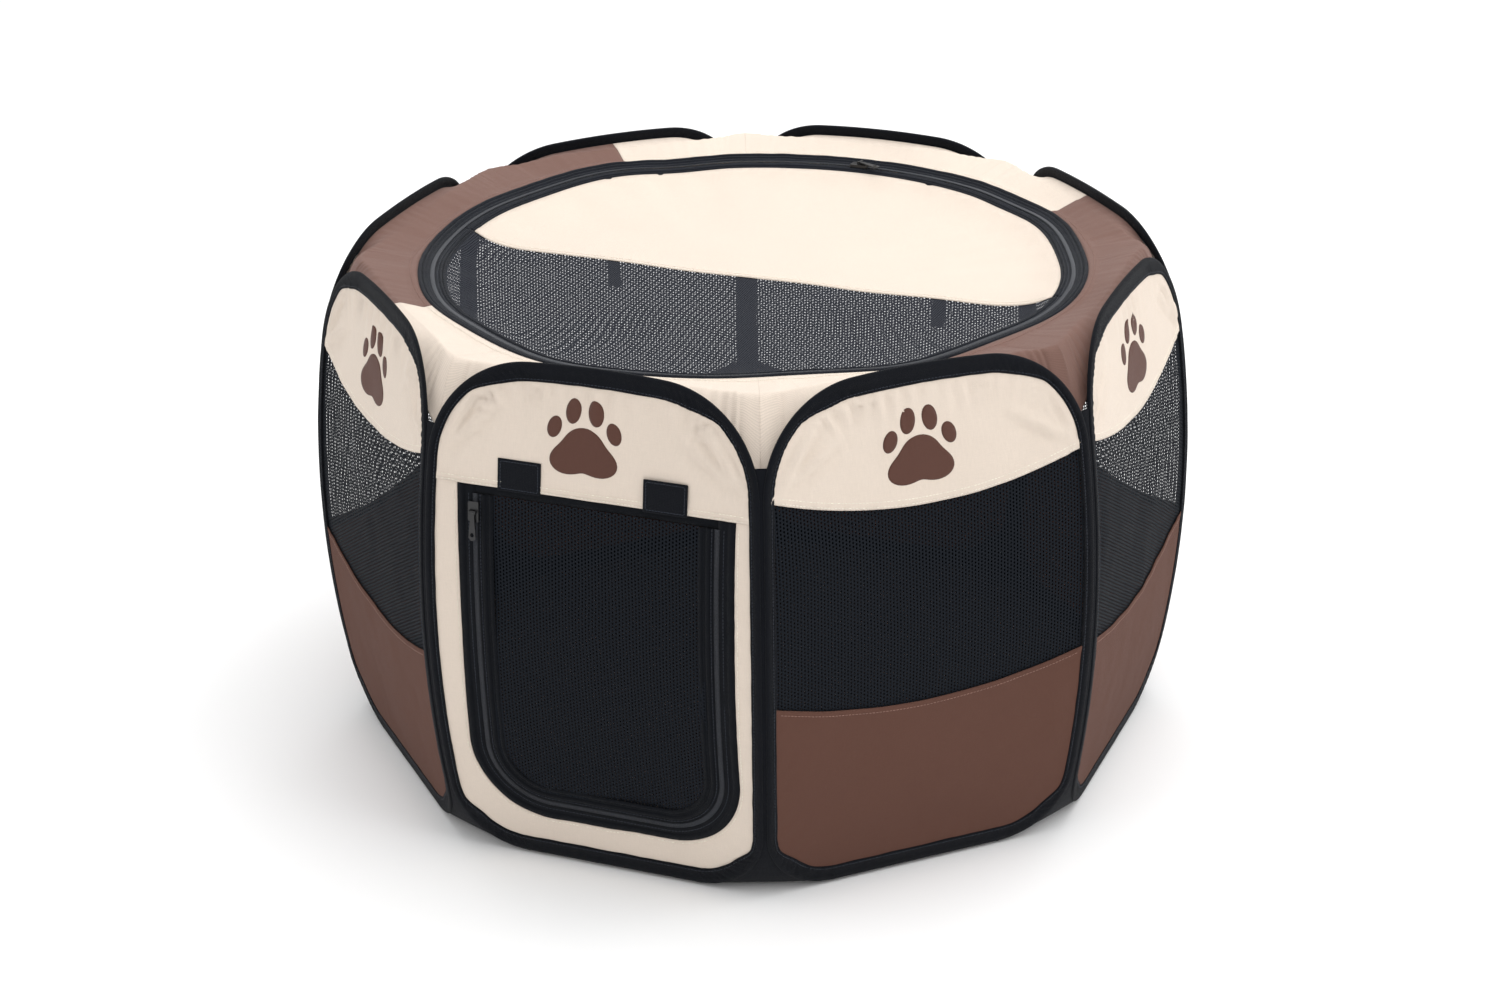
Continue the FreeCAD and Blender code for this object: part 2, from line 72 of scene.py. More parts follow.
PANELS = 8
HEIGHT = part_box("hoop_binding_1")[1].z
HOOP_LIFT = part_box("hoop_binding_1")[0].z
EDGE_HALF_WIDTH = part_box("hoop_binding_1")[1].x
MID_RADIUS = 0.480
END_RADIUS = 0.446
TOP_CORNER = 0.112
BOTTOM_CORNER = 0.080
TOP_ARCH = 1.100
BINDING_WIDTH = 0.019
HEADER_CORNER_Z, HEADER_MIDDLE_Z = 0.446, 0.416
BASE_CORNER_Z, BASE_MIDDLE_Z = 0.231, 0.204
DOOR_HEADER_Z = 0.424
DOOR_HALF_WIDTH = 0.144
DOOR_SHIFT = 0.005
DOOR_BOTTOM_Z = 0.057
DOOR_CORNER = 0.080
DOOR_TOP_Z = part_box("door_mesh")[1].z
COIL_INSET = 0.0145
ZIP_WIDTH = 0.029
RING_RADIUS = 0.362
RING_Z = 0.528

# The top as it is drawn: the cover's sag, how far the skirt reaches down the corners, how far
# it lies inside the hoops' edges, and how high its shoulders stand over the seams.
COVER_SAG = 0.0170
SKIRT_DROP = 0.086
SKIRT_INSET = 0.0115
SHOULDER_RISE = 0.018

STEP = 2 * math.pi / PANELS
HALF_STEP = STEP / 2
MID_APOTHEM = MID_RADIUS * math.cos(HALF_STEP)
END_APOTHEM = END_RADIUS * math.cos(HALF_STEP)
MID_Z = (HOOP_LIFT + HEIGHT) / 2
HALF_HEIGHT = (HEIGHT - HOOP_LIFT) / 2
BOW = MID_APOTHEM - END_APOTHEM
BOW_RADIUS = (HALF_HEIGHT ** 2 + BOW ** 2) / (2 * BOW)
BOW_CENTRE_Y = BOW_RADIUS - MID_APOTHEM
EDGE_BOW = BOW * math.tan(HALF_STEP)
EDGE_RADIUS = (HALF_HEIGHT ** 2 + EDGE_BOW ** 2) / (2 * EDGE_BOW)
EDGE_CENTRE_X = EDGE_HALF_WIDTH - EDGE_RADIUS
SEAM_HALF_WIDTH = EDGE_HALF_WIDTH - 0.008
BACK = math.pi / 2
TAU = 2 * math.pi

# The attribute that holds each point's place in the flat cloth.
PLACE = "flat_place"


def body(number):
    return "door_panel" if number == 1 else f"panel_{number}"


# ---- Small geometry ----

def fade(value, low, high):
    """0 at low, 1 at high, and smooth between."""
    t = np.clip((np.asarray(value, float) - low) / (high - low), 0, 1)
    return t * t * (3 - 2 * t)


def unit(vectors):
    return vectors / np.linalg.norm(vectors, axis=-1, keepdims=True)


def distances(points):
    """How far along a line each of its points is."""
    return np.concatenate([[0], np.cumsum(np.linalg.norm(np.diff(points, axis=0), axis=1))])


def points_at(where, along, points):
    """The points of a line at those distances along it."""
    return np.stack([np.interp(where, along, column) for column in points.T], 1)


def pairs(a, b):
    """Two arrays spread to one shape, as points (a, b)."""
    return np.stack(np.broadcast_arrays(a, b), -1)


def ripple(x, y, size, seed):
    """Smooth noise from about -1 to 1, with lumps of about that size."""
    points = pairs(x, y).reshape(-1, 2) / size
    values = [noise.noise(Vector((a, b, seed * 7.3))) for a, b in points]
    return np.array(values).reshape(np.broadcast(x, y).shape)


def turned(points, angle):
    """Points turned about the pen's upright axis."""
    c, s = math.cos(angle), math.sin(angle)
    return points @ np.array([[c, s, 0], [-s, c, 0], [0, 0, 1]])


def on_panel(flat, number, out=0.0):
    """Flat points (x, z) put on a panel's bowed surface, out metres outside the cloth."""
    x, rise = flat[..., 0], flat[..., 1] - MID_Z
    reach = np.sqrt(BOW_RADIUS ** 2 - rise ** 2)
    surface = np.stack([x, BOW_CENTRE_Y - reach, flat[..., 1]], -1)
    outward = np.stack([0 * x, -reach, rise], -1) / BOW_RADIUS
    moved = surface + outward * np.broadcast_to(out, x.shape)[..., None]
    return turned(moved, (number - 1) * STEP)


def outward(flat, number):
    return unit(on_panel(flat, number, 0.01) - on_panel(flat, number))


def trace(runs, spacing):
    """Points, and directions to the left, along straight runs and anticlockwise arcs."""
    points, left = [], []
    for run in runs:
        if len(run) == 2:
            start, end = (np.array(p, float) for p in run)
            length = np.linalg.norm(end - start)
            share = np.arange(max(2, round(length / spacing)))
            points.append(start + (end - start) * (share / len(share))[:, None])
            across = np.array([start[1] - end[1], end[0] - start[0]]) / length
            left.append(np.repeat(across[None], len(share), 0))
        else:
            centre, radius, start, end = run
            count = max(2, round(radius * (end - start) / spacing))
            angles = start + (end - start) * np.arange(count) / count
            ray = np.stack([np.cos(angles), np.sin(angles)], 1)
            points.append(np.array(centre) + radius * ray)
            left.append(-ray)
    return np.concatenate(points), np.concatenate(left)


def hoop_arcs():
    """The centres and angles of a hoop's top and bottom corner arcs, on the right."""
    arch_z = HEIGHT - TOP_ARCH
    side_reach, arch_reach = EDGE_RADIUS - TOP_CORNER, TOP_ARCH - TOP_CORNER
    dx, dz = -EDGE_CENTRE_X, arch_z - MID_Z
    gap = math.hypot(dx, dz)
    along = (side_reach ** 2 - arch_reach ** 2 + gap ** 2) / (2 * gap)
    off = math.sqrt(side_reach ** 2 - along ** 2)
    top = (EDGE_CENTRE_X + (along * dx - off * dz) / gap,
           MID_Z + (along * dz + off * dx) / gap)
    bottom_z = HOOP_LIFT + BOTTOM_CORNER
    bottom_reach = EDGE_RADIUS - BOTTOM_CORNER
    bottom = (EDGE_CENTRE_X + math.sqrt(bottom_reach ** 2 - (bottom_z - MID_Z) ** 2), bottom_z)
    side_top = math.atan2(top[1] - MID_Z, top[0] - EDGE_CENTRE_X)
    side_bottom = math.atan2(bottom_z - MID_Z, bottom[0] - EDGE_CENTRE_X)
    arch_end = math.atan2(top[1] - arch_z, top[0])
    return top, bottom, side_top, side_bottom, arch_end


TOP, BOTTOM, SIDE_TOP, SIDE_BOTTOM, ARCH_END = hoop_arcs()


def hoop_line(spacing):
    """The edge of a hoop, anticlockwise from the bottom's left end, and the way inward."""
    return trace([
        ((-BOTTOM[0], HOOP_LIFT), (BOTTOM[0], HOOP_LIFT)),
        (BOTTOM, BOTTOM_CORNER, -math.pi / 2, SIDE_BOTTOM),
        ((EDGE_CENTRE_X, MID_Z), EDGE_RADIUS, SIDE_BOTTOM, SIDE_TOP),
        (TOP, TOP_CORNER, SIDE_TOP, ARCH_END),
        ((0, HEIGHT - TOP_ARCH), TOP_ARCH, ARCH_END, math.pi - ARCH_END),
        ((-TOP[0], TOP[1]), TOP_CORNER, math.pi - ARCH_END, math.pi - SIDE_TOP),
        ((-EDGE_CENTRE_X, MID_Z), EDGE_RADIUS, math.pi - SIDE_TOP, math.pi - SIDE_BOTTOM),
        ((-BOTTOM[0], BOTTOM[1]), BOTTOM_CORNER, math.pi - SIDE_BOTTOM, 1.5 * math.pi),
    ], spacing)


def door_line(spacing, top_z=DOOR_TOP_Z):
    """The door's outline, down the left side and up the right, and the way inward."""
    corner_x, corner_z = DOOR_HALF_WIDTH - DOOR_CORNER, DOOR_BOTTOM_Z + DOOR_CORNER
    points, left = trace([
        ((-DOOR_HALF_WIDTH, top_z), (-DOOR_HALF_WIDTH, corner_z)),
        ((-corner_x, corner_z), DOOR_CORNER, math.pi, 1.5 * math.pi),
        ((-corner_x, DOOR_BOTTOM_Z), (corner_x, DOOR_BOTTOM_Z)),
        ((corner_x, corner_z), DOOR_CORNER, -math.pi / 2, 0),
        ((DOOR_HALF_WIDTH, corner_z), (DOOR_HALF_WIDTH, top_z)),
    ], spacing)
    end = np.array([[DOOR_HALF_WIDTH, top_z]])
    return np.concatenate([points, end]) + [DOOR_SHIFT, 0], np.concatenate([left, left[-1:]])


HOOP, HOOP_IN = hoop_line(0.004)
DOOR, DOOR_IN = door_line(0.004)


def gap_to(points, line):
    """The distance from each point to the nearest point of a line."""
    nearest = [np.linalg.norm(line[None] - some[:, None], axis=2).min(1)
               for some in np.array_split(points, max(1, len(points) // 1500))]
    return np.concatenate(nearest)


def inside(points, outline):
    """True for each point that is inside a closed outline."""
    x, z = points[:, :1], points[:, 1:]
    a, b = outline, np.roll(outline, -1, 0)
    crosses = (a[:, 1] > z) != (b[:, 1] > z)
    rise = np.where(crosses, b[:, 1] - a[:, 1], 1.0)
    at = a[:, 0] + (z - a[:, 1]) * (b[:, 0] - a[:, 0]) / rise
    return (crosses & (x < at)).sum(1) % 2 == 1


def dip(x, corner_z, middle_z, half_width):
    """The height of a curved seam that dips in the middle of a panel."""
    sag = corner_z - middle_z
    radius = (half_width ** 2 + sag ** 2) / (2 * sag)
    return middle_z + radius - np.sqrt(radius ** 2 - x ** 2)


def header_edge(x):
    return dip(x, HEADER_CORNER_Z, HEADER_MIDDLE_Z, SEAM_HALF_WIDTH)


def base_edge(x):
    return dip(x, BASE_CORNER_Z, BASE_MIDDLE_Z, EDGE_HALF_WIDTH)


def across(edge, spacing=0.004):
    """Flat points along a seam that crosses a panel from left to right."""
    x = np.linspace(-SEAM_HALF_WIDTH, SEAM_HALF_WIDTH, round(2 * SEAM_HALF_WIDTH / spacing))
    return pairs(x, edge(x))


def cut(lines, spacing, keep):
    """Flat cloth in triangles. lines are (points, closes), and keep picks what is cloth."""
    points = np.concatenate([line for line, _ in lines])
    edges, first = [], 0
    for line, closes in lines:
        count = len(line)
        edges += [(first + i, first + (i + 1) % count) for i in range(count - (not closes))]
        first += count
    low, high = points.min(0), points.max(0)
    rows = np.arange(low[1], high[1], spacing * 0.866)
    columns = np.arange(low[0], high[0], spacing)
    grid = np.array([(x + spacing / 2 * (i % 2), z) for i, z in enumerate(rows) for x in columns])
    grid = grid[gap_to(grid, points) > 0.6 * spacing]
    given = [Vector(p) for p in np.concatenate([points, grid])]
    flat, _, triangles, *_ = delaunay_2d_cdt(given, edges, [], 0, 1e-6)
    flat = np.array([tuple(p) for p in flat])
    triangles = np.array(triangles)
    triangles = triangles[keep(flat[triangles].mean(1))]
    used, order = np.unique(triangles, return_inverse=True)
    return flat[used], order.reshape(triangles.shape)


def make(name, points, faces, material, place=None):
    """A smooth mesh object. place is each point's place in the flat cloth."""
    mesh = bpy.data.meshes.new(name)
    mesh.from_pydata(points.tolist(), [], faces if isinstance(faces, list) else faces.tolist())
    mesh.shade_smooth()
    if place is not None:
        layer = mesh.attributes.new(PLACE, "FLOAT_VECTOR", "POINT")
        flat = np.zeros((len(points), 3), np.float32)
        flat[:, :2] = place
        layer.data.foreach_set("vector", flat.ravel())
    mesh.materials.append(material)
    piece = bpy.data.objects.new(name, mesh)
    bpy.context.scene.collection.objects.link(piece)
    return piece


def loft(name, grid, material, place, ring=False, tube=False):
    """A surface through rows of points. ring joins the last row to the first, and tube
    joins each row's ends."""
    rows, columns = grid.shape[:2]
    i = np.arange(rows if ring else rows - 1)[:, None]
    j = np.arange(columns if tube else columns - 1)[None]
    k, m = (i + 1) % rows, (j + 1) % columns
    faces = np.stack(np.broadcast_arrays(i * columns + j, k * columns + j,
                                         k * columns + m, i * columns + m), -1)
    return make(name, grid.reshape(-1, 3), faces.reshape(-1, 4), material, place.reshape(-1, 2))


CLOTH_THICKNESS, TAPE_THICKNESS = 0.0008, 0.0006


def thicken(piece, thickness):
    solid = piece.modifiers.new("thickness", "SOLIDIFY")
    solid.thickness = thickness
    solid.offset = 0.0
    return piece


def finish_piece(piece, rides_on, node=None):
    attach(piece, rides_on)
    if node:
        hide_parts(node)
    return piece


def declare(piece):
    """Reads the flat place of each of a cloth piece's points, and does nothing more with it."""
    mesh = piece.data
    count = len(mesh.vertices)
    flat = np.zeros(count * 3, np.float32)
    mesh.attributes[PLACE].data.foreach_get("vector", flat)
    flat = flat.reshape(-1, 3)


# ---- Small repeated pieces: stitches and zip teeth ----

# Half the length, width and height of a bead, and the step from one to the next.
STITCH, STITCH_PITCH = (0.0014, 0.00038, 0.00032), 0.0038
ZIP_STITCH = (0.0014, 0.00035, 0.0003)
DOOR_TOOTH, RING_TOOTH, TOOTH_PITCH = (0.0027, 0.00048, 0.0009), (0.0027, 0.00048, 0.0010), 0.0013


def bead(sides=6, ends=((-1, 0.45), (-0.6, 0.95), (0.6, 0.95), (1, 0.45))):
    """A unit bead along x with blunt ends: its points, its side faces and its end faces."""
    angles = TAU * (np.arange(sides) + 0.5) / sides
    rings = [(x, r * np.cos(a), r * np.sin(a)) for x, r in ends for a in angles]
    last = (len(ends) - 1) * sides
    faces = [(i + j, i + (j + 1) % sides, i + sides + (j + 1) % sides, i + sides + j)
             for i in range(0, last, sides) for j in range(sides)]
    caps = [tuple(range(sides))[::-1], tuple(range(last, last + sides))]
    return np.array(rings), np.array(faces), np.array(caps)


def evenly(points, ups, pitch, closed=False):
    """Places along a line at equal steps, with the way along it and the way up there."""
    if closed:
        points, ups = (np.concatenate([a, a[:1]]) for a in (points, ups))
    reach = distances(points)
    steps = max(2, round(reach[-1] / pitch))
    at = (np.arange(steps) + 0.5) * reach[-1] / steps
    along = points_at(at + pitch / 3, reach, points) - points_at(at - pitch / 3, reach, points)
    return points_at(at, reach, points), unit(along), unit(points_at(at, reach, ups))


def beads(name, where, long_way, up, size, material):
    """One bead at each place, with its length along long_way."""
    shape, faces, caps = bead()
    side = unit(np.cross(up, long_way))
    axes = np.stack([long_way * size[0], side * size[1], up * size[2]], 1)
    points = np.einsum("pa,nac->npc", shape, axes) + where[:, None]
    shift = np.arange(len(where))[:, None, None] * len(shape)
    quads, ends = ((part[None] + shift).reshape(-1, part.shape[1]).tolist()
                   for part in (faces, caps))
    place = np.repeat(where[:, :2], len(shape), 0)
    return make(name, points.reshape(-1, 3), quads + ends, material, place)


def stitches(name, points, ups, thread, rides_on, slot, closed=False, pitch=STITCH_PITCH,
             size=STITCH):
    where, along, up = evenly(points, ups, pitch, closed)
    return finish_piece(beads(name, where, along, up, size, thread), rides_on)


def teeth(name, points, ups, size, rides_on):
    """The teeth of a closed zip along a line."""
    where, along, up = evenly(points, ups, TOOTH_PITCH)
    row = beads(name, where, unit(np.cross(up, along)), up, size, COIL)
    return finish_piece(row, rides_on)


# ---- Materials ----

def colour(red, green, blue):
    """A screen colour, 0 to 255, as the shader's linear one."""
    def linear(value):
        v = value / 255
        return v / 12.92 if v <= 0.04045 else ((v + 0.055) / 1.055) ** 2.4
    return linear(red), linear(green), linear(blue), 1.0


def scaled(tone, factor):
    return tuple(min(1.0, c * factor) for c in tone[:3]) + (1.0,)


class Finish:
    """A material's nodes, with a short call for each kind of node it needs."""

    def __init__(self, name, roughness, place=True, **constants):
        self.material = bpy.data.materials.new(name)
        self.material.use_nodes = True
        self.tree = self.material.node_tree
        self.shader = self.tree.nodes["Principled BSDF"]
        for socket, value in {"Roughness": roughness, **constants}.items():
            self.shader.inputs[socket.replace("_", " ")].default_value = value
        if place:
            self.place = self.add("ShaderNodeAttribute", attribute_name=PLACE).outputs["Vector"]
        else:
            self.place = self.add("ShaderNodeTexCoord").outputs["Object"]

    def add(self, kind, *values, **settings):
        node = self.tree.nodes.new(kind)
        for key, value in settings.items():
            setattr(node, key, value)
        for socket, value in zip(node.inputs, values):
            self.feed(socket, value)
        return node

    def feed(self, socket, value):
        if isinstance(value, bpy.types.NodeSocket):
            self.tree.links.new(value, socket)
        elif value is not None:
            socket.default_value = value

    def feeds(self, node, **values):
        for socket, value in values.items():
            self.feed(node.inputs[socket], value)
        return node

    def sums(self, operation, *values):
        return self.add("ShaderNodeMath", *values, operation=operation).outputs[0]

    def between(self, factor, a, b):
        node = self.add("ShaderNodeMix", data_type="RGBA")
        for index, value in ((0, factor), (6, a), (7, b)):
            self.feed(node.inputs[index], value)
        return node.outputs[2]

    def mottle(self, size, stretch=(1, 1, 1), detail=3.0):
        """Noise with lumps of about that size, drawn out along the axes."""
        scale = tuple(1 / (size * s) for s in stretch)
        place = self.add("ShaderNodeMapping", self.place, None, None, scale).outputs[0]
        texture = self.add("ShaderNodeTexNoise")
        return self.feeds(texture, Vector=place, Scale=1.0, Detail=detail).outputs[0]

    def weave(self, pitch_x, pitch_y):
        """The height of a plain weave with threads that far apart."""
        split = self.add("ShaderNodeSeparateXYZ", self.place)
        warp = self.sums("SINE", self.sums("MULTIPLY", split.outputs[0], math.pi / pitch_x))
        weft = self.sums("SINE", self.sums("MULTIPLY", split.outputs[1], math.pi / pitch_y))
        over = self.sums("MULTIPLY_ADD", self.sums("MULTIPLY", warp, weft), 2.0, 0.5)
        over.node.use_clamp = True
        return self.between(over, self.sums("ABSOLUTE", weft), self.sums("ABSOLUTE", warp))

    def bump(self, height, depth, under=None):
        """Relief that deep, on top of the relief under it."""
        node = self.add("ShaderNodeBump")
        self.feeds(node, Strength=1.0, Distance=depth, Height=height, Normal=under)
        self.feeds(self.shader, Normal=node.outputs[0])
        return node.outputs[0]

    def base(self, tone):
        self.feed(self.shader.inputs["Base Color"], tone)


def canvas(name, tone, pitch=0.0009, sheen=0.25, depth=0.00022, gloss=0.3):
    """Oxford cloth: a plain weave of slubby threads, with the coating's faint patches."""
    f = Finish(name, 0.82, Sheen_Weight=sheen, Sheen_Roughness=0.4, Specular_IOR_Level=gloss)
    height = f.weave(pitch, pitch * 1.15)
    slubs = f.mottle(pitch, (1.0, 14.0, 1.0), 2.0)
    picks = f.mottle(pitch, (14.0, 1.0, 1.0), 2.0)
    grain = f.sums("MULTIPLY", f.sums("ADD", slubs, picks), 0.5)
    cloth = f.between(grain, scaled(tone, 0.86), scaled(tone, 1.14))
    cloth = f.between(height, scaled(tone, 0.72), cloth)
    patches = f.mottle(0.07, detail=4.0)
    cloth = f.between(f.sums("MULTIPLY", patches, 0.22), cloth, scaled(tone, 0.74))
    f.base(cloth)
    f.bump(height, depth, f.bump(f.mottle(0.0045, detail=5.0), 0.00035))
    return f.material


def tape(name, tone, pitch, sheen, rib=0.00025):
    """Close-woven black tape with fine ribs along it."""
    f = Finish(name, 0.75, Sheen_Weight=sheen, Sheen_Roughness=0.35, Specular_IOR_Level=0.12)
    height = f.weave(pitch, pitch * 0.7)
    wear = f.mottle(0.012, (3.0, 1.0, 1.0), 5.0)
    cloth = f.between(wear, scaled(tone, 0.7), scaled(tone, 1.7))
    f.base(f.between(height, scaled(tone, 0.6), cloth))
    f.bump(height, rib, f.bump(f.mottle(0.006, detail=4.0), 0.0006))
    return f.material


def netting(name, tone, pitch_x, pitch_z):
    """Knitted polyester net: columns of staggered oval holes."""
    f = Finish(name, 0.7, Sheen_Weight=0.01, Specular_IOR_Level=0.05)
    uneven = f.feeds(f.add("ShaderNodeTexNoise"), Vector=f.place, Scale=45.0).outputs["Color"]
    shift = f.add("ShaderNodeVectorMath", uneven, (pitch_x * 0.12,) * 3, operation="MULTIPLY")
    place = f.add("ShaderNodeVectorMath", f.place, shift.outputs[0], operation="ADD")
    split = f.add("ShaderNodeSeparateXYZ", place.outputs[0])
    column = f.sums("DIVIDE", split.outputs[0], pitch_x)
    whole = f.sums("FLOOR", f.sums("ADD", column, 1000.0))
    half_if_odd = f.sums("MULTIPLY", f.sums("MODULO", whole, 2.0), 0.5)
    row = f.sums("ADD", f.sums("DIVIDE", split.outputs[1], pitch_z), half_if_odd)

    def from_middle(count, hole):
        offset = f.sums("SUBTRACT", f.sums("FRACT", count), 0.5)
        return f.sums("POWER", f.sums("DIVIDE", f.sums("ABSOLUTE", offset), hole), 2.0)

    distance = f.sums("ADD", from_middle(column, 0.235), from_middle(row, 0.305))
    f.feeds(f.shader, Alpha=f.sums("GREATER_THAN", distance, 1.0))
    yarn = f.mottle(0.0008, (1.0, 3.0, 1.0), 3.0)
    f.base(f.between(yarn, scaled(tone, 0.6), scaled(tone, 2.2)))
    f.bump(f.sums("MINIMUM", distance, 3.0), 0.0002)
    return f.material


def moulded(name, tone, roughness, grain, coat=0.0, metallic=0.0):
    """Smooth hard trim: enamel, nylon or steel, with faint wear in its gloss."""
    f = Finish(name, roughness, place=False, Metallic=metallic, Coat_Weight=coat)
    wear = f.mottle(grain, detail=6.0)
    f.base(f.between(wear, scaled(tone, 0.75), scaled(tone, 1.4)))
    f.feeds(f.shader, Roughness=f.sums("MULTIPLY_ADD", wear, 0.25, roughness - 0.1))
    f.bump(wear, 0.00004)
    return f.material


def pile(name, tone):
    """Hook-and-loop: a dense nap of fine loops."""
    f = Finish(name, 0.95, Sheen_Weight=0.03, Sheen_Roughness=0.6, Specular_IOR_Level=0.15)
    nap = f.mottle(0.0011, detail=6.0)
    f.base(f.between(nap, scaled(tone, 0.45), scaled(tone, 1.9)))
    f.bump(f.weave(0.0016, 0.0016), 0.0004, f.bump(nap, 0.0009))
    return f.material


CREAM = canvas("cream_oxford", colour(237, 222, 207), sheen=0.12)
BROWN = canvas("brown_oxford", colour(101, 71, 61), sheen=0.02, gloss=0.1)
# Painted highlight: a lighter copy of the brown cloth for the top skirt, which stands in for the
# strong light from above.
PAINTED_LIT_SKIRT_BROWN = canvas("brown_oxford_painted_top_light", colour(124, 93, 83), sheen=0.12, gloss=0.3)
FLOOR_CLOTH = canvas("floor_oxford", colour(52, 42, 40), sheen=0.05)
INK = canvas("printed_paw", colour(92, 60, 50), sheen=0.1, depth=0.00015)
BINDING = tape("binding_tape", colour(10, 13, 20), 0.0007, 0.05)
ZIP_TAPE = tape("zip_tape", colour(11, 14, 20), 0.0006, 0.04, 0.0002)
# Painted highlight: a lighter copy of the black zip tape for the round zip, which stands in for
# the strong light on the top.
PAINTED_LIT_TOP_TAPE = tape("top_zip_tape", colour(27, 30, 37), 0.0006, 0.08, 0.0002)
WEBBING = tape("webbing", colour(18, 20, 25), 0.0012, 0.06, 0.0004)
NET = netting("polyester_net", colour(19, 22, 27), 0.0036, 0.0040)
COVER_NET = netting("cover_net", colour(42, 44, 50), 0.0026, 0.0030)
COIL = moulded("nylon_coil", colour(44, 47, 54), 0.38, 0.002, coat=0.2)
ENAMEL = moulded("black_enamel", colour(11, 11, 13), 0.36, 0.003, coat=0.15)
STEEL = moulded("spring_steel", colour(150, 152, 156), 0.35, 0.004, metallic=1.0)
HOOKS = pile("hook_and_loop", colour(7, 10, 17))
PALE_THREAD = canvas("pale_thread", colour(250, 240, 224), pitch=0.0003, depth=0.0001)
BROWN_THREAD = canvas("brown_thread", colour(148, 112, 100), pitch=0.0003, depth=0.0001)
DARK_THREAD = canvas("dark_thread", colour(40, 46, 58), pitch=0.0003, depth=0.0001)


# ---- How the stretched cloth of a panel lies ----

# How far the binding's leaves reach in down the sides.
SIDE_BINDING = 0.0112

# The long creases at a header's corners: each one's slope, as an angle, and its height.
CREASES = ((0.62, 0.0034), (1.02, 0.0040), (1.30, 0.0024))


def leaf_reach(z):
    """How far the binding's leaves reach in from a hoop's edge: less in the upper corners and
    down the sides, where neighbouring bindings are sewn together and turn inward."""
    wide = np.where(z > MID_Z, fade(z, 0.522, 0.550), 1 - fade(z, 0.026, 0.058))
    return SIDE_BINDING + (BINDING_WIDTH - SIDE_BINDING) * wide


def creased(x, z, number):
    """Long creases that run up and in from the foot of each of a header's corners."""
    height = 0 * x
    for side in (-1, 1):
        for index, (slope, high) in enumerate(CREASES):
            lean = slope + 0.14 * math.sin(2.3 * number + 1.7 * index + side)
            u, v = side * (0.166 - side * x), z - 0.450
            along = side * u * math.cos(lean) + v * math.sin(lean)
            off = side * u * math.sin(lean) - v * math.cos(lean)
            reach = fade(along, 0.004, 0.03) * (1 - fade(along, 0.055, 0.105))
            fold = np.exp(-(off / 0.0048) ** 2) - 0.5 * np.exp(-((off - 0.009) / 0.006) ** 2)
            height = height + high * reach * fold
    return height


def slack(flat, number):
    """How far the cloth of a panel stands out of its smooth bowed surface."""
    x, z = flat[:, 0], flat[:, 1]
    depth = gap_to(flat, HOOP)
    toward = np.sign(z - MID_Z) * np.minimum(depth, 0.03)
    edge = np.maximum(leaf_reach(z), leaf_reach(z + toward))
    free = fade(depth, edge, edge + 0.03)
    broad = 0.0024 * ripple(x, z, 0.09, number) + 0.0009 * ripple(x, z, 0.03, number + 20)
    slant = np.sign(x) * fade(np.abs(x), 0.05, 0.13) * 0.7
    pull = 0.0036 * np.sin(TAU * (x + slant * z) / 0.019 + 3.5 * ripple(x, z, 0.06, number + 40))
    patchy = 0.35 + 0.65 * fade(ripple(x, z, 0.05, number + 50), -0.15, 0.35)
    clear = fade(depth, edge, edge + 0.009)
    near_hoop = np.exp(-np.maximum(depth - edge, 0) / 0.020) * clear
    upper = fade(z, 0.40, 0.50)
    gathers_there = near_hoop * patchy * pull * (0.2 + 0.8 * upper)
    return free * broad + gathers_there + creased(x, z, number) * clear


def hem(distance, width=0.009, height=0.0006):
    """The step where an edge is folded double."""
    return height * (1 - fade(distance, width, width + 0.0012))


def lay(name, sheet, number, material, node, relief, thickness=CLOTH_THICKNESS,
        rides_on=None):
    """A flat cut sheet of a panel, put in place and thickened."""
    flat, triangles = sheet
    points = on_panel(flat, number, slack(flat, number) + relief(flat))
    piece = make(name, points, triangles, material, flat)
    if thickness:
        thicken(piece, thickness)
    return finish_piece(piece, rides_on or body(number), node)


# Cloth is cut to TUCK, inside the binding, and overlaps the net at a seam. It lies
# CLOTH_LIFT outside the panel's surface, a seam's stitches SEAM_LIFT, and net inside it.
TUCK = HOOP + HOOP_IN * 0.006
OVERLAP = 0.009
CLOTH_LIFT, SEAM_LIFT, PRINT_LIFT, NET_LIFT = 0.0003, 0.0013, 0.00082, -0.0009


def hoop_cloth(lines, spacing, keep):
    """A flat sheet that fills a hoop, cut along lines that cross it."""
    edges = [(TUCK, True)] + [(line, False) for line in lines]
    return cut(edges, spacing, lambda p: inside(p, TUCK) & keep(p))


def plain_sheets():
    """The flat header, net and base of a plain panel, which overlap along their seams."""
    high, low = across(header_edge), across(base_edge)
    header = hoop_cloth([high], 0.0045, lambda p: p[:, 1] > header_edge(p[:, 0]))
    base = hoop_cloth([low], 0.0055, lambda p: p[:, 1] < base_edge(p[:, 0]))
    net = hoop_cloth([high + [0, OVERLAP], low - [0, OVERLAP]], 0.009,
                     lambda p: (p[:, 1] < header_edge(p[:, 0]) + OVERLAP)
                     & (p[:, 1] > base_edge(p[:, 0]) - OVERLAP))
    return header, net, base


def row_of_stitches(name, line, number, material, slot, lift):
    """Stitches along a flat line on a panel's cloth."""
    line = line[inside(line, HOOP + HOOP_IN * 0.0135)]
    points = on_panel(line, number, slack(line, number) + lift)
    return stitches(name, points, outward(line, number), material, body(number), slot)


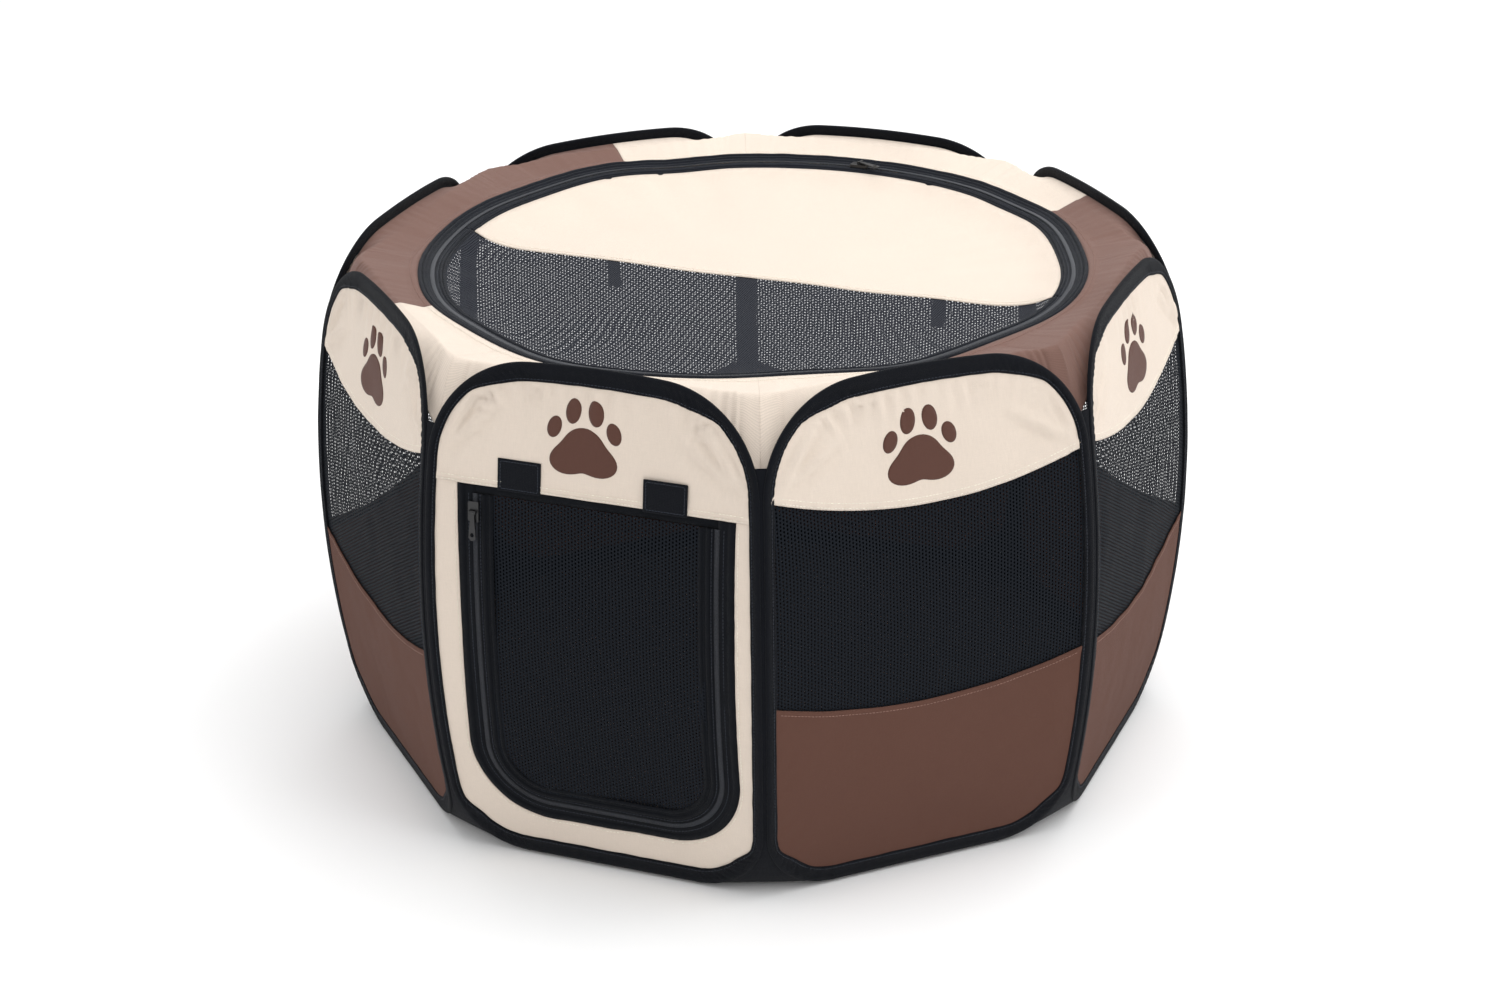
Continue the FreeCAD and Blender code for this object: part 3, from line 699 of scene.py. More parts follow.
def plain_panel(number, sheets):
    header, net, base = sheets
    top = lay(f"header_{number}", header, number, CREAM, f"panel_header_{number}",
              lambda flat: CLOTH_LIFT + hem(flat[:, 1] - header_edge(flat[:, 0])))
    window = lay(f"net_{number}", net, number, NET, f"panel_mesh_{number}",
                 lambda flat: NET_LIFT, thickness=0)
    bottom = lay(f"base_{number}", base, number, BROWN, f"panel_base_{number}",
                 lambda flat: CLOTH_LIFT + hem(base_edge(flat[:, 0]) - flat[:, 1], 0.007))
    for piece in (top, window, bottom):
        declare(piece)
    for row, rise in enumerate((0.0022, 0.0072)):
        row_of_stitches(f"header_stitches_{number}_{row}", across(header_edge) + [0, rise],
                        number, PALE_THREAD, "cream_cloth", SEAM_LIFT)
    row_of_stitches(f"base_stitches_{number}", across(base_edge) - [0, 0.0055],
                    number, BROWN_THREAD, "brown_cloth", SEAM_LIFT)


# ---- Paw prints ----

# Where a paw is printed on a header, and where on the two whose prints are off centre.
PAW_CENTRE, PAW_CENTRES = (0.0, 0.478), {1: (-0.008, 0.485), 2: (-0.008, 0.475)}


def oval(centre, half_width, half_height, lean, points=28):
    angles = TAU * np.arange(points) / points
    shape = np.stack([half_width * np.cos(angles), half_height * np.sin(angles)], 1)
    c, s = math.cos(lean), math.sin(lean)
    return shape @ np.array([[c, s], [-s, c]]) + centre


def paw_pad():
    """The large pad: a rounded triangle with a soft notch in its lower edge."""
    angles = TAU * np.arange(56) / 56
    radius = 1.0 + 0.15 * np.cos(3 * (angles - math.pi / 2)) + 0.03 * np.cos(2 * angles)
    notch = 0.10 * np.exp(-((angles - 1.5 * math.pi) / 0.40) ** 2)
    return np.stack([0.0330 * (radius - notch) * np.cos(angles),
                     0.0245 * (radius - notch) * np.sin(angles) - 0.0165], 1)


def paw_shapes():
    """Four toes and the pad."""
    toes = ((0.0120, 0.0262, 0.0082, 0.0128, 0.16), (0.0318, 0.0085, 0.0075, 0.0112, 0.34))
    return [oval((side * x, z), half_width, half_height, side * lean)
            for x, z, half_width, half_height, lean in toes for side in (-1, 1)] + [paw_pad()]


def paw(number, prints, centre):
    """A printed paw, thinner than the thread, on a header."""
    starts = np.cumsum([0] + [len(flat) for flat, _ in prints])
    flat = np.concatenate([flat for flat, _ in prints]) + centre
    faces = np.concatenate([triangles + first for (_, triangles), first in zip(prints, starts)])
    points = on_panel(flat, number, slack(flat, number) + PRINT_LIFT)
    piece = make(f"paw_print_{number}", points, faces, INK, flat)
    thicken(piece, 0.00012)
    finish_piece(piece, body(number))


# ---- Hoop bindings ----

# The outer leaf's section, from its free edge to the hoop's edge: distance in, and height out.
# The tape stands off the cloth in a bead over the wire, BEAD_DEPTH deep.
BEAD_DEPTH = 0.006
LEAF = ((0.0190, 0.0007), (0.0191, 0.0014), (0.0176, 0.0017), (0.0150, 0.0016), (0.0118, 0.0016),
        (0.0085, 0.0019), (0.0060, 0.0024), (0.0036, 0.0025), (0.0016, 0.0021), (0.0004, 0.0011))


def binding(number):
    """Tape folded over the wire: a bead round the edge and two leaves with tucks."""
    line, inward = hoop_line(0.0028)
    run = distances(line)
    profile = np.array(LEAF + tuple((t, -h) for t, h in LEAF[::-1]))
    bend = np.linalg.norm(np.roll(inward, -3, 0) - np.roll(inward, 3, 0), axis=1)
    corner = fade(bend, 0.03, 0.12)[:, None]
    s, t, h = run[:, None], profile[None, :, 0], profile[None, :, 1]
    wave = ripple(s, t, 0.035, number + 60)
    tucks = np.sin(TAU * (s + 0.9 * t + 0.004 * wave) / 0.0085)
    crumple = ripple(s + 0.6 * t, t * 1.5, 0.007, number + 61) \
        + 0.6 * ripple(s, t, 0.016, number + 62)
    depth = fade(t, 0.001, 0.010) * (0.0003 + 0.0006 * corner)
    height = h * (1 + 0.10 * wave) + np.sign(h) * depth * (0.45 * tucks * corner + 0.9 * crumple)
    edge = 1 + 0.035 * ripple(s, 0 * t, 0.02, number + 63) * fade(t, 0.012, 0.019)
    share = (leaf_reach(line[:, 1:]) - BEAD_DEPTH) / (BINDING_WIDTH - BEAD_DEPTH)
    narrowed = np.where(t < BEAD_DEPTH, t, BEAD_DEPTH + (t - BEAD_DEPTH) * share)
    flat = line[:, None] + inward[:, None] * (narrowed * edge)[..., None]
    grid = on_panel(flat, number, height)
    place = pairs(s, t + 0.03 * (h < 0))
    piece = loft(f"binding_{number}", grid, BINDING, place, ring=True, tube=True)
    finish_piece(piece, body(number), f"hoop_binding_{number}")
    for side, name in ((1, "outside"), (-1, "inside")):
        seam = line + inward * (leaf_reach(line[:, 1:]) - 0.0025)
        points = on_panel(seam, number, side * 0.0019)
        stitches(f"binding_stitches_{name}_{number}", points, side * outward(seam, number),
                 DARK_THREAD, body(number), "binding", closed=True)


# The seam after this panel joins nothing in the mechanism: the folding loop is open there.
OPEN_SEAM = 5


def half_width(z):
    """Half of a hoop's width at a height."""
    side = EDGE_CENTRE_X + np.sqrt(EDGE_RADIUS ** 2 - (z - MID_Z) ** 2)
    top = TOP[0] + np.sqrt(TOP_CORNER ** 2 - np.maximum(z - TOP[1], 0) ** 2)
    bottom = BOTTOM[0] + np.sqrt(np.maximum(BOTTOM_CORNER ** 2 - (z - BOTTOM[1]) ** 2, 0))
    side_low, side_high = (MID_Z + EDGE_RADIUS * math.sin(a) for a in (SIDE_BOTTOM, SIDE_TOP))
    return np.where(z > side_high, top, np.where(z < side_low, bottom, side))


def seam_web(number):
    """The strip that joins a hoop's side to the next hoop's, down a corner of the pen. It
    widens at the foot, where it closes the gap between the hoops' rounded corners. At the
    open seam each hoop has its own half."""
    z = np.linspace(0.0012, HEIGHT - SKIRT_DROP + 0.010, 172)
    inner = half_width(z) - 0.0022
    right = on_panel(pairs(inner, z), number)
    left = on_panel(pairs(-inner, z), number % PANELS + 1)
    middle = (right + left) / 2
    out = unit(middle * [1, 1, 0])
    tangent = unit(np.cross(unit(np.gradient(middle, axis=0)), out))
    gap = np.linalg.norm(right - left, axis=1)[:, None] / 2
    sides = 12
    turn = np.linspace(0, TAU, sides, endpoint=False)
    width = gap + 0.0005
    thick = 0.0011 * (1 + 0.10 * ripple(z, 0 * z, 0.006, number + 90)[:, None])
    grid = np.stack([middle + tangent * width * math.cos(a) + out * thick * math.sin(a)
                     for a in turn], 1)
    place = pairs(z[:, None], turn[None] * 0.002)
    if number == OPEN_SEAM:
        for side, first, rides_on in (("a", 3, number), ("b", 9, number + 1)):
            picks = [(first + i) % sides for i in range(7)]
            half_web = loft(f"seam_web_{number}_{side}", grid[:, picks], BINDING,
                            place[:, picks], tube=True)
            finish_piece(half_web, body(rides_on))
        return
    web = loft(f"seam_web_{number}", grid, BINDING, place, tube=True)
    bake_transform(web)


# ---- Door panel ----

# How much further the surround's opening is cut than the door's outline.
TAPE_SHOWS = 0.005


def door_cloth():
    line = across(lambda x: DOOR_HEADER_Z)
    header = hoop_cloth([line], 0.0045, lambda p: p[:, 1] > DOOR_HEADER_Z)
    opening, opening_in = door_line(0.004, DOOR_HEADER_Z + 0.03)
    opening = opening - opening_in * TAPE_SHOWS
    under = line + [0, OVERLAP]
    surround = hoop_cloth([opening, under], 0.0045,
                          lambda p: ~inside(p, opening) & (p[:, 1] < under[0, 1]))
    top = lay("door_header_cloth", header, 1, CREAM, "door_header",
              lambda flat: CLOTH_LIFT + hem(flat[:, 1] - DOOR_HEADER_Z, 0.008))
    sides = lay("door_surround_cloth", surround, 1, CREAM, "door_surround",
                lambda flat: -0.0004 + hem(gap_to(flat, DOOR) - TAPE_SHOWS, 0.005))
    declare(top)
    for row, rise in enumerate((0.0020, 0.0066)):
        row_of_stitches(f"door_header_stitches_{row}", line + [0, rise], 1, PALE_THREAD,
                        "cream_cloth", 0.0017)
    edge = DOOR - DOOR_IN * (TAPE_SHOWS + 0.0030)
    points = on_panel(edge, 1, slack(edge, 1) + 0.0009)
    stitches("door_edge_stitches", points, outward(edge, 1), PALE_THREAD, body(1), "cream_cloth")


def zip_side(name, profile, line, inward, wave, rides_on, node):
    """A strip of the door's zip tape along a flat line. profile gives the places and heights
    of its folds and ribs."""
    run = distances(line)
    t, h = (np.array(a)[None] for a in zip(*profile))
    flat = line[:, None] + inward[:, None] * t[..., None]
    lively = wave * ripple(run[:, None], t, 0.03, 80) * fade(t, 0.004, 0.012)
    loose = slack(flat.reshape(-1, 2), 1).reshape(flat.shape[:2]) * (1 - fade(t, -0.002, 0.012))
    grid = on_panel(flat, 1, h + lively + loose)
    piece = thicken(loft(name, grid, ZIP_TAPE, pairs(run[:, None], t)), TAPE_THICKNESS)
    finish_piece(piece, rides_on, node)


def rib(start, end, low, high, count=9):
    """Places and heights across a padded fold of tape."""
    t = np.linspace(start, end, count)
    return list(zip(t, low + (high - low) * np.sin(np.pi * (t - start) / (end - start)) ** 0.7))


def door_zip():
    line, inward = door_line(0.003, DOOR_HEADER_Z)
    profile = [(-0.0125, -0.0024), (-0.0075, -0.0022), (-0.0060, -0.0012)] \
        + rib(-0.0042, 0.0030, -0.0004, 0.0011) \
        + [(0.0045, -0.0004), (0.0082, -0.0002), (0.0100, -0.0003), (0.0136, -0.0003)]
    zip_side("door_zip_fixed", profile, line, inward, 0.0006, body(1), "door_zip_tape")
    x = np.linspace(-DOOR_HALF_WIDTH, DOOR_HALF_WIDTH, 90)[:, None] + DOOR_SHIFT
    z = np.array([[DOOR_TOP_Z, DOOR_TOP_Z + 0.004, DOOR_HEADER_Z + 0.001, DOOR_HEADER_Z + 0.008]])
    flat = pairs(x, z)
    loose = slack(flat.reshape(-1, 2), 1).reshape(flat.shape[:2])
    strip = loft("door_zip_top", on_panel(flat, 1, loose - 0.0020), ZIP_TAPE, flat)
    finish_piece(thicken(strip, TAPE_THICKNESS), body(1), "door_zip_tape")
    line, inward = door_line(0.003, DOOR_TOP_Z)
    profile = [(0.0154, -0.0003), (0.0190, -0.0003), (0.0205, -0.0001)] \
        + rib(0.0212, 0.0262, -0.0004, 0.0010) + [(0.0268, -0.0004), (ZIP_WIDTH, -0.0004)] \
        + rib(0.0292, 0.0335, -0.0004, 0.0006, 6)
    zip_side("door_zip_loose", profile, line, inward, 0.0007, "door_flap", "door_flap_tape")
    coil = line + inward * COIL_INSET
    teeth("door_zip_coil", on_panel(coil, 1, 0.0003), outward(coil, 1), DOOR_TOOTH, body(1))
    for index, (inset, rides_on) in enumerate(((0.0074, body(1)), (0.0200, "door_flap"))):
        seam = line + inward * inset
        stitches(f"door_zip_stitches_{index}", on_panel(seam, 1, 0.0003), outward(seam, 1),
                 DARK_THREAD, rides_on, "zip_tape")


def door_net():
    edge = DOOR + DOOR_IN * (ZIP_WIDTH - 0.002)
    edge = np.concatenate([edge, [[edge[-1, 0], DOOR_TOP_Z], [edge[0, 0], DOOR_TOP_Z]]])
    sheet = cut([(edge, True)], 0.008, lambda p: inside(p, edge))
    declare(lay("door_net", sheet, 1, NET, "door_mesh",
                lambda flat: NET_LIFT + 0.0012 * ripple(flat[:, 0], flat[:, 1], 0.06, 33),
                thickness=0, rides_on="door_flap"))


def rounded_box(half_x, half_y, corner, steps=6):
    """A flat rounded rectangle, anticlockwise."""
    turns = [(1, -1, -0.5), (1, 1, 0.0), (-1, 1, 0.5), (-1, -1, 1.0)]
    points = [(sx * (half_x - corner) + corner * math.cos(math.pi * (a + 0.5 * i / steps)),
               sy * (half_y - corner) + corner * math.sin(math.pi * (a + 0.5 * i / steps)))
              for sx, sy, a in turns for i in range(steps + 1)]
    return np.array(points)


# A tab's rows of points, from the middle of its face, over the edge, to the middle of its
# back: each one's share of the tab's half size, of its thickness, and its place in the cloth.
TAB_ROWS = ((0.0, 1.0, 0.0), (0.25, 1.02, 0.25), (0.5, 1.0, 0.5), (0.8, 1.0, 0.8),
            (0.86, 0.82, 0.86), (0.92, 1.0, 0.92), (0.975, 0.92, 0.975), (1.0, 0.5, 1.0),
            (0.975, 0.0, 1.02), (0.5, 0.0, 1.5), (0.0, 0.0, 2.0))
TAB_THICKNESS = 0.0014


def tab(name, rides_on, node):
    """A hook-and-loop tab: a soft-edged slab with a stitched border."""
    low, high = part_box(node)
    middle_x, middle_z = (low.x + high.x) / 2, (low.z + high.z) / 2
    half_x, half_z = (high.x - low.x) / 2, (high.z - low.z) / 2
    outline = rounded_box(1, 1, 0.06)
    grid, place = [], []
    for share, height, along in TAB_ROWS:
        flat = outline * [half_x * share, half_z * share] + [middle_x, middle_z]
        wobble = 0.0003 * ripple(flat[:, 0], flat[:, 1], 0.012, 50)
        grid.append(on_panel(flat, 1, TAB_THICKNESS * height + 0.0012 + wobble * (height > 0)))
        place.append(outline * along * [half_x, half_z])
    piece = loft(name, np.stack(grid), HOOKS, np.stack(place), tube=True)
    finish_piece(piece, rides_on, node)
    border = rounded_box(half_x * 0.87, half_z * 0.84, 0.002) + [middle_x, middle_z]
    stitches(f"{name}_stitches", on_panel(border, 1, TAB_THICKNESS + 0.0011),
             outward(border, 1), DARK_THREAD, rides_on, "hook_and_loop", closed=True, pitch=0.0032)


# ---- Top: round zip, cover and skirt ----

# The round zip's band slopes in between BAND_INNER, where the cover starts, and RING_RADIUS.
BAND_SLOPE = 0.26
BAND_INNER = 0.3335
COIL_RADIUS = 0.3481


def ring_shape(angle):
    """How far the round zip strays outward and up at an angle: it is pulled in between the
    hoops, and lies calmly at the back, where the slider runs."""
    calm = fade(np.abs((angle - BACK + math.pi) % TAU - math.pi), 0.42, 0.75)
    pulled = 0.0045 * (np.cos(PANELS * angle) - 1) / 2
    wander = 0.0022 * np.sin(3 * angle + 0.6) + 0.0014 * np.sin(7 * angle + 2.0)
    rise = 0.0024 * np.sin(5 * angle + 1.0) + 0.0012 * np.sin(11 * angle)
    return (pulled + wander) * calm, rise * calm


def on_ring(angle, radius, height=0.0):
    """A point of the top, by its angle, its radius and its height above the zip."""
    stray, rise = ring_shape(angle)
    held = fade(radius, 0.10, 0.33)
    r = radius + stray * held
    slope = BAND_SLOPE * (np.clip(radius, BAND_INNER, RING_RADIUS + 0.0015) - COIL_RADIUS)
    level = RING_Z + slope + height + rise * held
    x, y, z = np.broadcast_arrays(r * np.cos(angle), r * np.sin(angle), level)
    return np.stack([x, y, z], -1)


def gathers(piece):
    """Gives the piece its own copy of its mesh."""
    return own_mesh(piece)


def ring_strip(name, profile, start, end, rides_on, node, seed):
    """A strip of the round zip's tape between two angles."""
    closed = end - start >= TAU
    count = round((end - start) * RING_RADIUS / 0.003)
    angle = np.linspace(start, end, count, endpoint=not closed)[:, None]
    radius, height = (np.array(a)[None] for a in zip(*profile))
    lively = 0.0006 * ripple(angle * RING_RADIUS, radius, 0.02, seed)
    grid = on_ring(angle, radius, height + lively)
    place = pairs(angle * RING_RADIUS, radius)
    # The round zip's tape takes the lighter tape colour, a painted highlight for the light from
    # above.
    piece = thicken(loft(name, grid, PAINTED_LIT_TOP_TAPE, place, ring=closed), TAPE_THICKNESS)
    gathers(finish_piece(piece, rides_on, node))


def ring_line(radius, height, start, end):
    """Points on a circle of the round zip between two angles, and the way up there."""
    angle = np.linspace(start, end, round((end - start) * radius / 0.004))
    points = on_ring(angle, radius, height)
    return points, np.repeat([[0.0, 0.0, 1.0]], len(points), 0)


# Two padded folds of tape, side by side.
RIBS = rib(0.0, 0.0044, 0.0, 0.0021) + rib(0.0047, 0.0084, 0.0, 0.0015)


def round_zip():
    outer = [(0.3640, -0.0030), (0.3632, -0.0004)] + [(0.3632 - t, h) for t, h in RIBS] \
        + [(0.3540, 0.0), (0.3525, 0.0003), (0.3500, 0.0)]
    ring_strip("round_zip_fixed", outer, 0, TAU, "top_ring", "top_zip_tape", 71)
    inner = [(0.3462, 0.0), (0.3435, 0.0003), (0.3410, 0.0)] \
        + [(0.3405 - t * 0.7, h * 0.9) for t, h in RIBS] + [(0.3344, -0.0003), (0.3328, -0.0010)]
    gap = 0.0004 / RING_RADIUS
    for name, turn, rides_on in (("back", 0, "cover"), ("front", math.pi, "cover_flap")):
        ends = turn + gap, turn + math.pi - gap
        ring_strip(f"round_zip_{name}", inner, *ends, rides_on, f"cover_tape_{name}", 72)
        gathers(stitches(f"round_zip_{name}_stitches", *ring_line(0.3425, 0.0006, *ends),
                         DARK_THREAD, rides_on, "zip_tape", size=ZIP_STITCH))
    coil = ring_line(COIL_RADIUS, 0.0004, 0, TAU)
    gathers(teeth("round_zip_coil", *coil, RING_TOOTH, "top_ring"))


def cover_points(flat):
    """The cover's flat points in place: it hangs below the zip, and gathers near its rim."""
    radius = np.hypot(flat[:, 0], flat[:, 1])
    angle = np.arctan2(flat[:, 1], flat[:, 0])
    within = BAND_INNER - radius
    sag = COVER_SAG * (1 - np.exp(-np.maximum(within, 0) / 0.029))
    spokes = 0.0016 * np.sin(PANELS * 4 * angle + 5 * ripple(flat[:, 0], flat[:, 1], 0.2, 5))
    near_rim = np.exp(-within / 0.045) * fade(within, 0.0, 0.02)
    broad = 0.0030 * ripple(flat[:, 0], flat[:, 1], 0.11, 6) * fade(within, 0.0, 0.06)
    return on_ring(angle, radius, spokes * near_rim + broad - sag)


def cover_half(side):
    """The back (+1) half of the cover in cloth, or the front (-1) half in net."""
    angles = np.linspace(0, math.pi, 260) + (math.pi if side < 0 else 0)
    rim = 0.3342 * np.stack([np.cos(angles), np.sin(angles)], 1)
    straight = np.linspace(rim[-1, 0], rim[0, 0], 150)[1:-1]
    edge = np.concatenate([rim, pairs(straight, 0.0)])
    edge[:, 1] += side * 0.0004
    return cut([(edge, True)], 0.0065 if side > 0 else 0.009, lambda p: inside(p, edge))


def cover():
    flat, triangles = cover_half(1)
    points = cover_points(flat)
    points[:, 2] += hem(flat[:, 1], 0.009, 0.0007)
    shade = thicken(make("cover_cloth", points, triangles, CREAM, flat), CLOTH_THICKNESS)
    finish_piece(shade, "cover", "cover_shade")
    flat, triangles = cover_half(-1)
    window = make("cover_net", cover_points(flat), triangles, COVER_NET, flat)
    finish_piece(window, "cover_flap", "cover_mesh")
    for piece in (shade, window):
        declare(piece)
        gathers(piece)
    x = np.linspace(-0.325, 0.325, 180)
    up = np.repeat([[0.0, 0.0, 1.0]], len(x), 0)
    for row, y in enumerate((0.0026, 0.0078)):
        points = cover_points(pairs(x, y)) + [0, 0, 0.0013]
        gathers(stitches(f"cover_seam_stitches_{row}", points, up, PALE_THREAD, "cover",
                         "cream_cloth"))


def ties():
    """Two webbing loops that hang under the cover's seam, for tying it back."""
    low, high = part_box("cover_ties")
    width, bend = 0.013, 0.0024
    middle, half_gap = (low.y + high.y) / 2, bend * 0.75
    down = np.linspace(high.z, low.z + bend, 10)
    path = [(middle - half_gap, z) for z in down[:-1]]
    path += [(middle - half_gap * math.cos(a), low.z + bend - bend * math.sin(a))
             for a in np.linspace(0, math.pi, 9)]
    path = np.array(path + [(middle + half_gap, z) for z in down[::-1][1:]])
    across_it = width * np.linspace(0, 1, 7)
    place = pairs(distances(path)[:, None], across_it[None])
    for name, start, lean in (("left", low.x, 0.05), ("right", high.x - width, -0.04)):
        sway = lean * (high.z - path[:, 1])
        grid = np.stack([np.stack([start + x + sway, path[:, 0], path[:, 1]], 1)
                         for x in across_it], 1)
        piece = thicken(loft(f"tie_loop_{name}", grid, WEBBING, place), 0.0012)
        gathers(finish_piece(piece, "cover", "cover_ties"))


def skirt_edge(samples):
    """Flat points along the top of a hoop, from its right-hand corner to its left, and how
    far along it each one is from the middle."""
    radius = TOP_CORNER - SKIRT_INSET
    low = math.asin((HEIGHT - SKIRT_DROP - TOP[1]) / radius)
    line, _ = trace([
        (TOP, radius, low, ARCH_END),
        ((0, HEIGHT - TOP_ARCH), TOP_ARCH - SKIRT_INSET, ARCH_END, math.pi - ARCH_END),
        ((-TOP[0], TOP[1]), radius, math.pi - ARCH_END, math.pi - low),
    ], 0.002)
    line = np.concatenate([line, [[-line[0, 0], line[0, 1]]]])
    run = distances(line)
    at = np.linspace(0, run[-1], samples)
    return points_at(at, run, line), at - run[-1] / 2


def gore(number, half=None):
    """The top skirt over one panel, or over its first or second half."""
    columns, rows = 121, 26
    flat, run = skirt_edge(columns)
    hoop = on_panel(flat, 1, -0.0037)
    corner = HALF_STEP * np.sign(flat[:, 0]) - math.pi / 2
    reach = np.hypot(hoop[:, 0], hoop[:, 1])
    at_seam = np.stack([reach * np.cos(corner), reach * np.sin(corner), hoop[:, 2]], 1)
    near_seam = fade(np.abs(run), run[-1] - 0.022, run[-1])[:, None]
    hoop = hoop * (1 - near_seam) + at_seam * near_seam
    turn = (number - 1) * STEP
    angle = np.arctan2(hoop[:, 1], hoop[:, 0]) + turn
    ring = turned(on_ring(angle, RING_RADIUS + 0.0012, -0.0005), -turn)
    b = np.linspace(0, 1, rows)[:, None] ** 1.25
    grid = hoop[None] * (1 - b[..., None]) + ring[None] * b[..., None]
    shoulder = ring[None, :, 2] + (1 - b) * SHOULDER_RISE
    grid[..., 2] += np.maximum(shoulder - grid[..., 2], 0) * fade(b, 0, 0.35)
    away = b * np.linalg.norm(ring - hoop, axis=1)[None]
    s = run[None]
    arc_part = fade(np.abs(s), 0.10, 0.15)
    inner = 1 - fade(np.abs(s), run[-1] - 0.03, run[-1])
    middle = fade(b, 0, 0.25) * (1 - fade(b, 0.8, 1.0))
    pleats = np.sin(TAU * s / 0.0165 + 4 * ripple(s, away, 0.06, number + 100))
    near_hoop = np.exp(-away / 0.020) * fade(away, 0, 0.006)
    height = 0.0013 * pleats * near_hoop * (0.35 + 0.65 * arc_part)
    height = height + 0.0026 * ripple(s, away, 0.07, number + 110) * middle * (0.3 + 0.7 * inner)
    height = height + 0.0008 * ripple(s * 2.2, away * 0.6, 0.03, number + 120) * middle * inner
    height = height * inner - 0.0035 * middle
    normal = unit(np.cross(np.gradient(grid, axis=1), np.gradient(grid, axis=0)))
    normal = normal * np.sign(normal[..., 2:]) * inner[..., None]
    normal = unit(normal + (1 - inner[..., None]) * [0, 0, 1])
    grid = grid + normal * height[..., None]
    centre = columns // 2
    part = {"first": slice(centre, None), "second": slice(centre + 1)}.get(half, slice(None))
    grid, normal = grid[:, part], normal[:, part]
    return turned(grid, turn), grid[..., :2], turned(normal, turn)


def flattens(piece):
    """Gives the piece its own copy of its mesh."""
    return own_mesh(piece)


def skirt():
    cream = CREAM, "cream_cloth", PALE_THREAD
    # The brown sectors take the lighter brown, a painted highlight for the light from above.
    brown = PAINTED_LIT_SKIRT_BROWN, "brown_cloth", BROWN_THREAD
    sectors = (("front", *cream), ("right", *brown), ("back", *cream), ("left", *brown))
    for index, (name, material, slot, thread) in enumerate(sectors):
        number = 2 * index + 1
        before, after = (number - 2) % PANELS + 1, number % PANELS + 1
        for panel, half in ((before, "second"), (number, None), (after, "first")):
            grid, place, normal = gore(panel, half)
            piece = loft(f"skirt_{name}_{panel}", grid, material, place)
            thicken(piece, CLOTH_THICKNESS)
            finish_piece(piece, body(panel), f"skirt_{name}")
            declare(piece)
            flattens(piece)
            row = grid[-3] + normal[-3] * 0.0007
            flattens(stitches(f"skirt_stitches_{name}_{panel}", row, normal[-3], thread,
                              body(panel), slot))


# ---- Floor sheet ----

def floor_sheet():
    reach = END_APOTHEM + 0.001
    half = reach * math.tan(HALF_STEP)
    for number in range(1, PANELS + 1):
        x = np.linspace(-half, half, 61)
        cut_back = np.maximum(np.abs(x) - BOTTOM[0], 0) * math.tan(HALF_STEP)
        edge = np.stack([x, cut_back - reach, 0 * x], 1)
        share = np.linspace(0, 0.999, 70)[:, None, None]
        grid = turned(edge[None] * (1 - share), (number - 1) * STEP)
        span = np.hypot(grid[..., 0], grid[..., 1])
        loose = fade(span, 0.0, 0.05) * (1 - fade(span, 0.34, 0.40))
        x, y = grid[..., 0], grid[..., 1]
        waves = ripple(x, y, 0.13, 3) + 0.4 * ripple(x, y, 0.05, 4)
        turned_up = 0.0024 * (1 - fade(share[..., 0], 0.0, 0.02))
        grid[..., 2] = 0.0010 + 0.0038 * loose * fade(waves, -0.8, 1.4) + turned_up
        piece = thicken(loft(f"floor_{number}", grid, FLOOR_CLOTH, grid[..., :2]), 0.0010)
        finish_piece(piece, body(number), "floor")
        flattens(piece)
        declare(piece)


# ---- The whole pen ----

def pen():
    sheets = plain_sheets()
    prints = [cut([(shape, True)], 0.003, lambda p, shape=shape: inside(p, shape))
              for shape in paw_shapes()]
    for number in range(1, PANELS + 1):
        binding(number)
        seam_web(number)
        if number > 1:
            plain_panel(number, sheets)
        paw(number, prints, np.array(PAW_CENTRES.get(number, PAW_CENTRE)))
    door_cloth()
    door_zip()
    door_net()
    for side in ("left", "right"):
        tab(f"tab_{side}", f"door_tab_{side}", f"door_tab_{side}")
    round_zip()
    cover()
    ties()
    skirt()
    floor_sheet()
    wires = [f"hoop_wire_{number}" for number in range(1, PANELS + 1)]
    zips = ["door_slider", "door_puller", "top_slider", "top_puller"]
    for node, material in [(node, ENAMEL) for node in zips] + [(node, STEEL) for node in wires]:
        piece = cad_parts[node]
        piece.data.materials.clear()
        piece.data.materials.append(material)
        edges = piece.modifiers.new("edges", "BEVEL")
        edges.width = 0.00025
        edges.segments = 2
        edges.limit_method = "ANGLE"


# ---- Studio ----

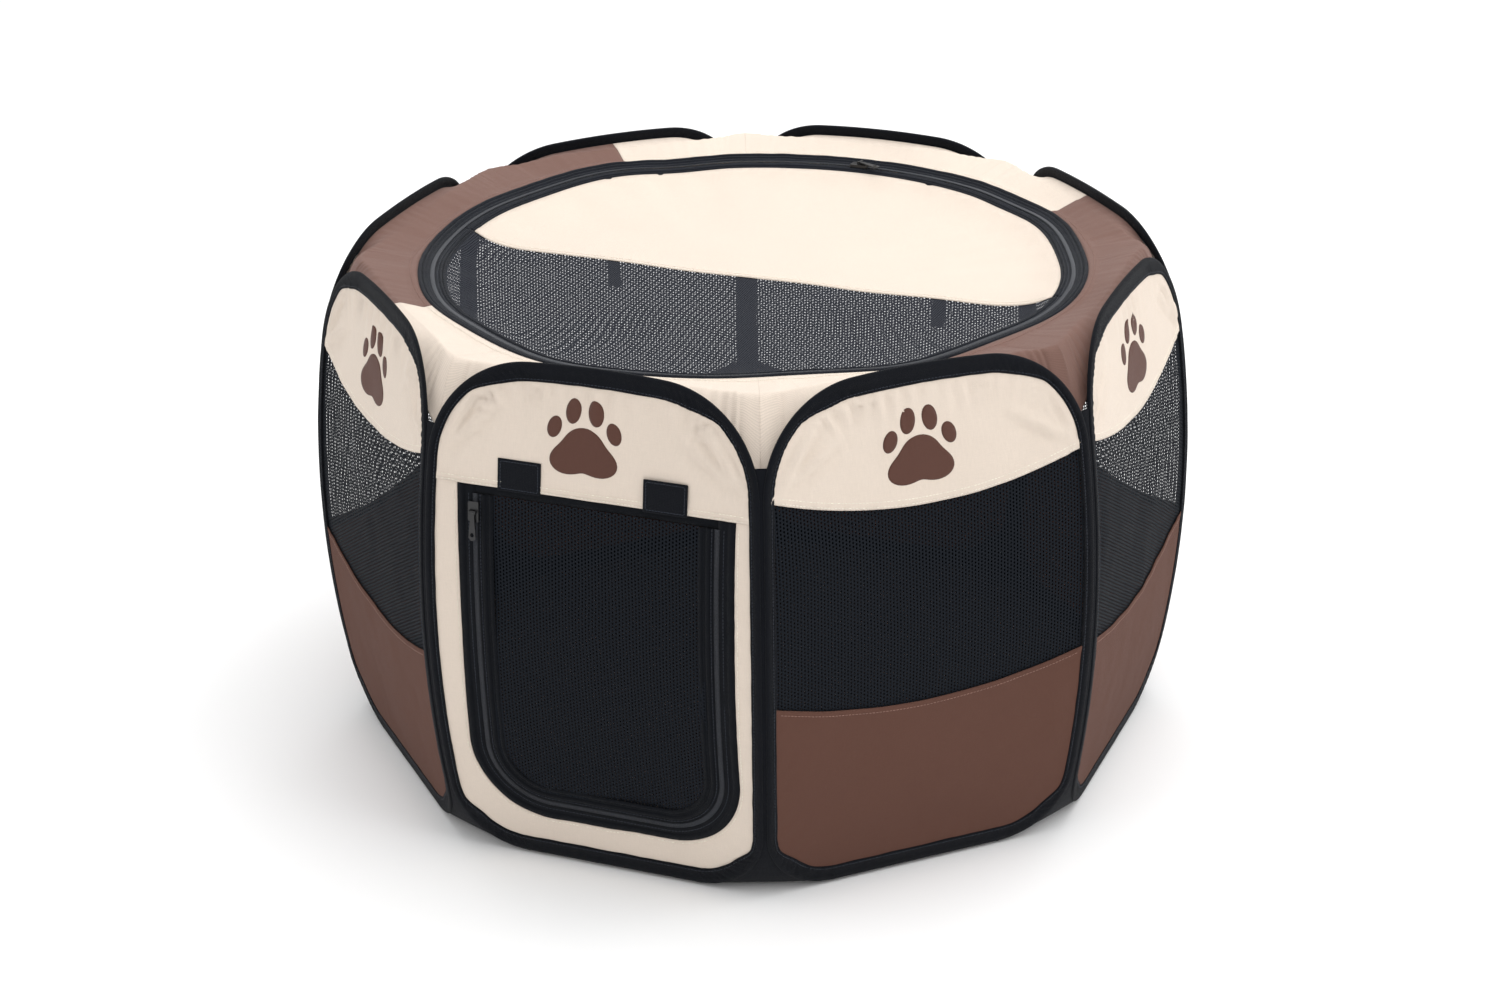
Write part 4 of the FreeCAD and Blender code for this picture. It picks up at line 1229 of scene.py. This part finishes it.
# The photograph's view. Angles are in degrees, and azimuth 0 is in front of the door.
AIM = Vector((-0.0054, 0.0001, 0.2448))
AZIMUTH, ELEVATION, ROLL = 21.78, 23.67, -0.75
DISTANCE, LENS = 3.6185, 77.9


def aimed(name, data, azimuth, elevation, distance, roll=0.0):
    """A camera or a lamp that looks at the pen from a place round it."""
    azimuth, elevation = math.radians(azimuth), math.radians(elevation)
    level = math.cos(elevation)
    way = Vector((math.sin(azimuth) * level, -math.cos(azimuth) * level, math.sin(elevation)))
    thing = bpy.data.objects.new(name, data)
    bpy.context.scene.collection.objects.link(thing)
    thing.location = AIM + way * distance
    thing.rotation_mode = "QUATERNION"
    facing = (-way).to_track_quat("-Z", "Y")
    thing.rotation_quaternion = facing @ Quaternion((0, 0, 1), math.radians(roll))
    return thing


def camera():
    data = bpy.data.cameras.new("camera")
    data.lens, data.sensor_width = LENS, 36.0
    data.clip_start, data.clip_end = 0.05, 60.0
    bpy.context.scene.camera = aimed("camera", data, AZIMUTH, ELEVATION, DISTANCE, ROLL)


def softbox(name, azimuth, elevation, distance, size, watts):
    data = bpy.data.lights.new(name, "AREA")
    data.energy, data.size = watts, size
    aimed(name, data, azimuth, elevation, distance)


def studio():
    world = bpy.data.worlds.new("studio")
    world.use_nodes = True
    sky = world.node_tree.nodes["Background"]
    sky.inputs[0].default_value = (1.0, 1.0, 1.0, 1.0)
    sky.inputs[1].default_value = 0.85
    scene = bpy.context.scene
    scene.world = world
    scene.view_settings.view_transform = "Standard"
    bpy.ops.mesh.primitive_plane_add(size=14.0, location=(0, 0, -0.0006))
    ground = bpy.context.object
    ground.name = "studio_floor"
    paint = Finish("studio_paint", 0.9, place=False)
    paint.base(paint.between(paint.mottle(0.5), colour(250, 250, 250), colour(255, 255, 255)))
    ground.data.materials.append(paint.material)
    softbox("key", 95, 50, 3.6, 4.0, 62)
    softbox("top", -160, 75, 3.4, 4.0, 66)
    softbox("fill", -50, 15, 4.0, 3.0, 8)
    camera()


pen()
studio()
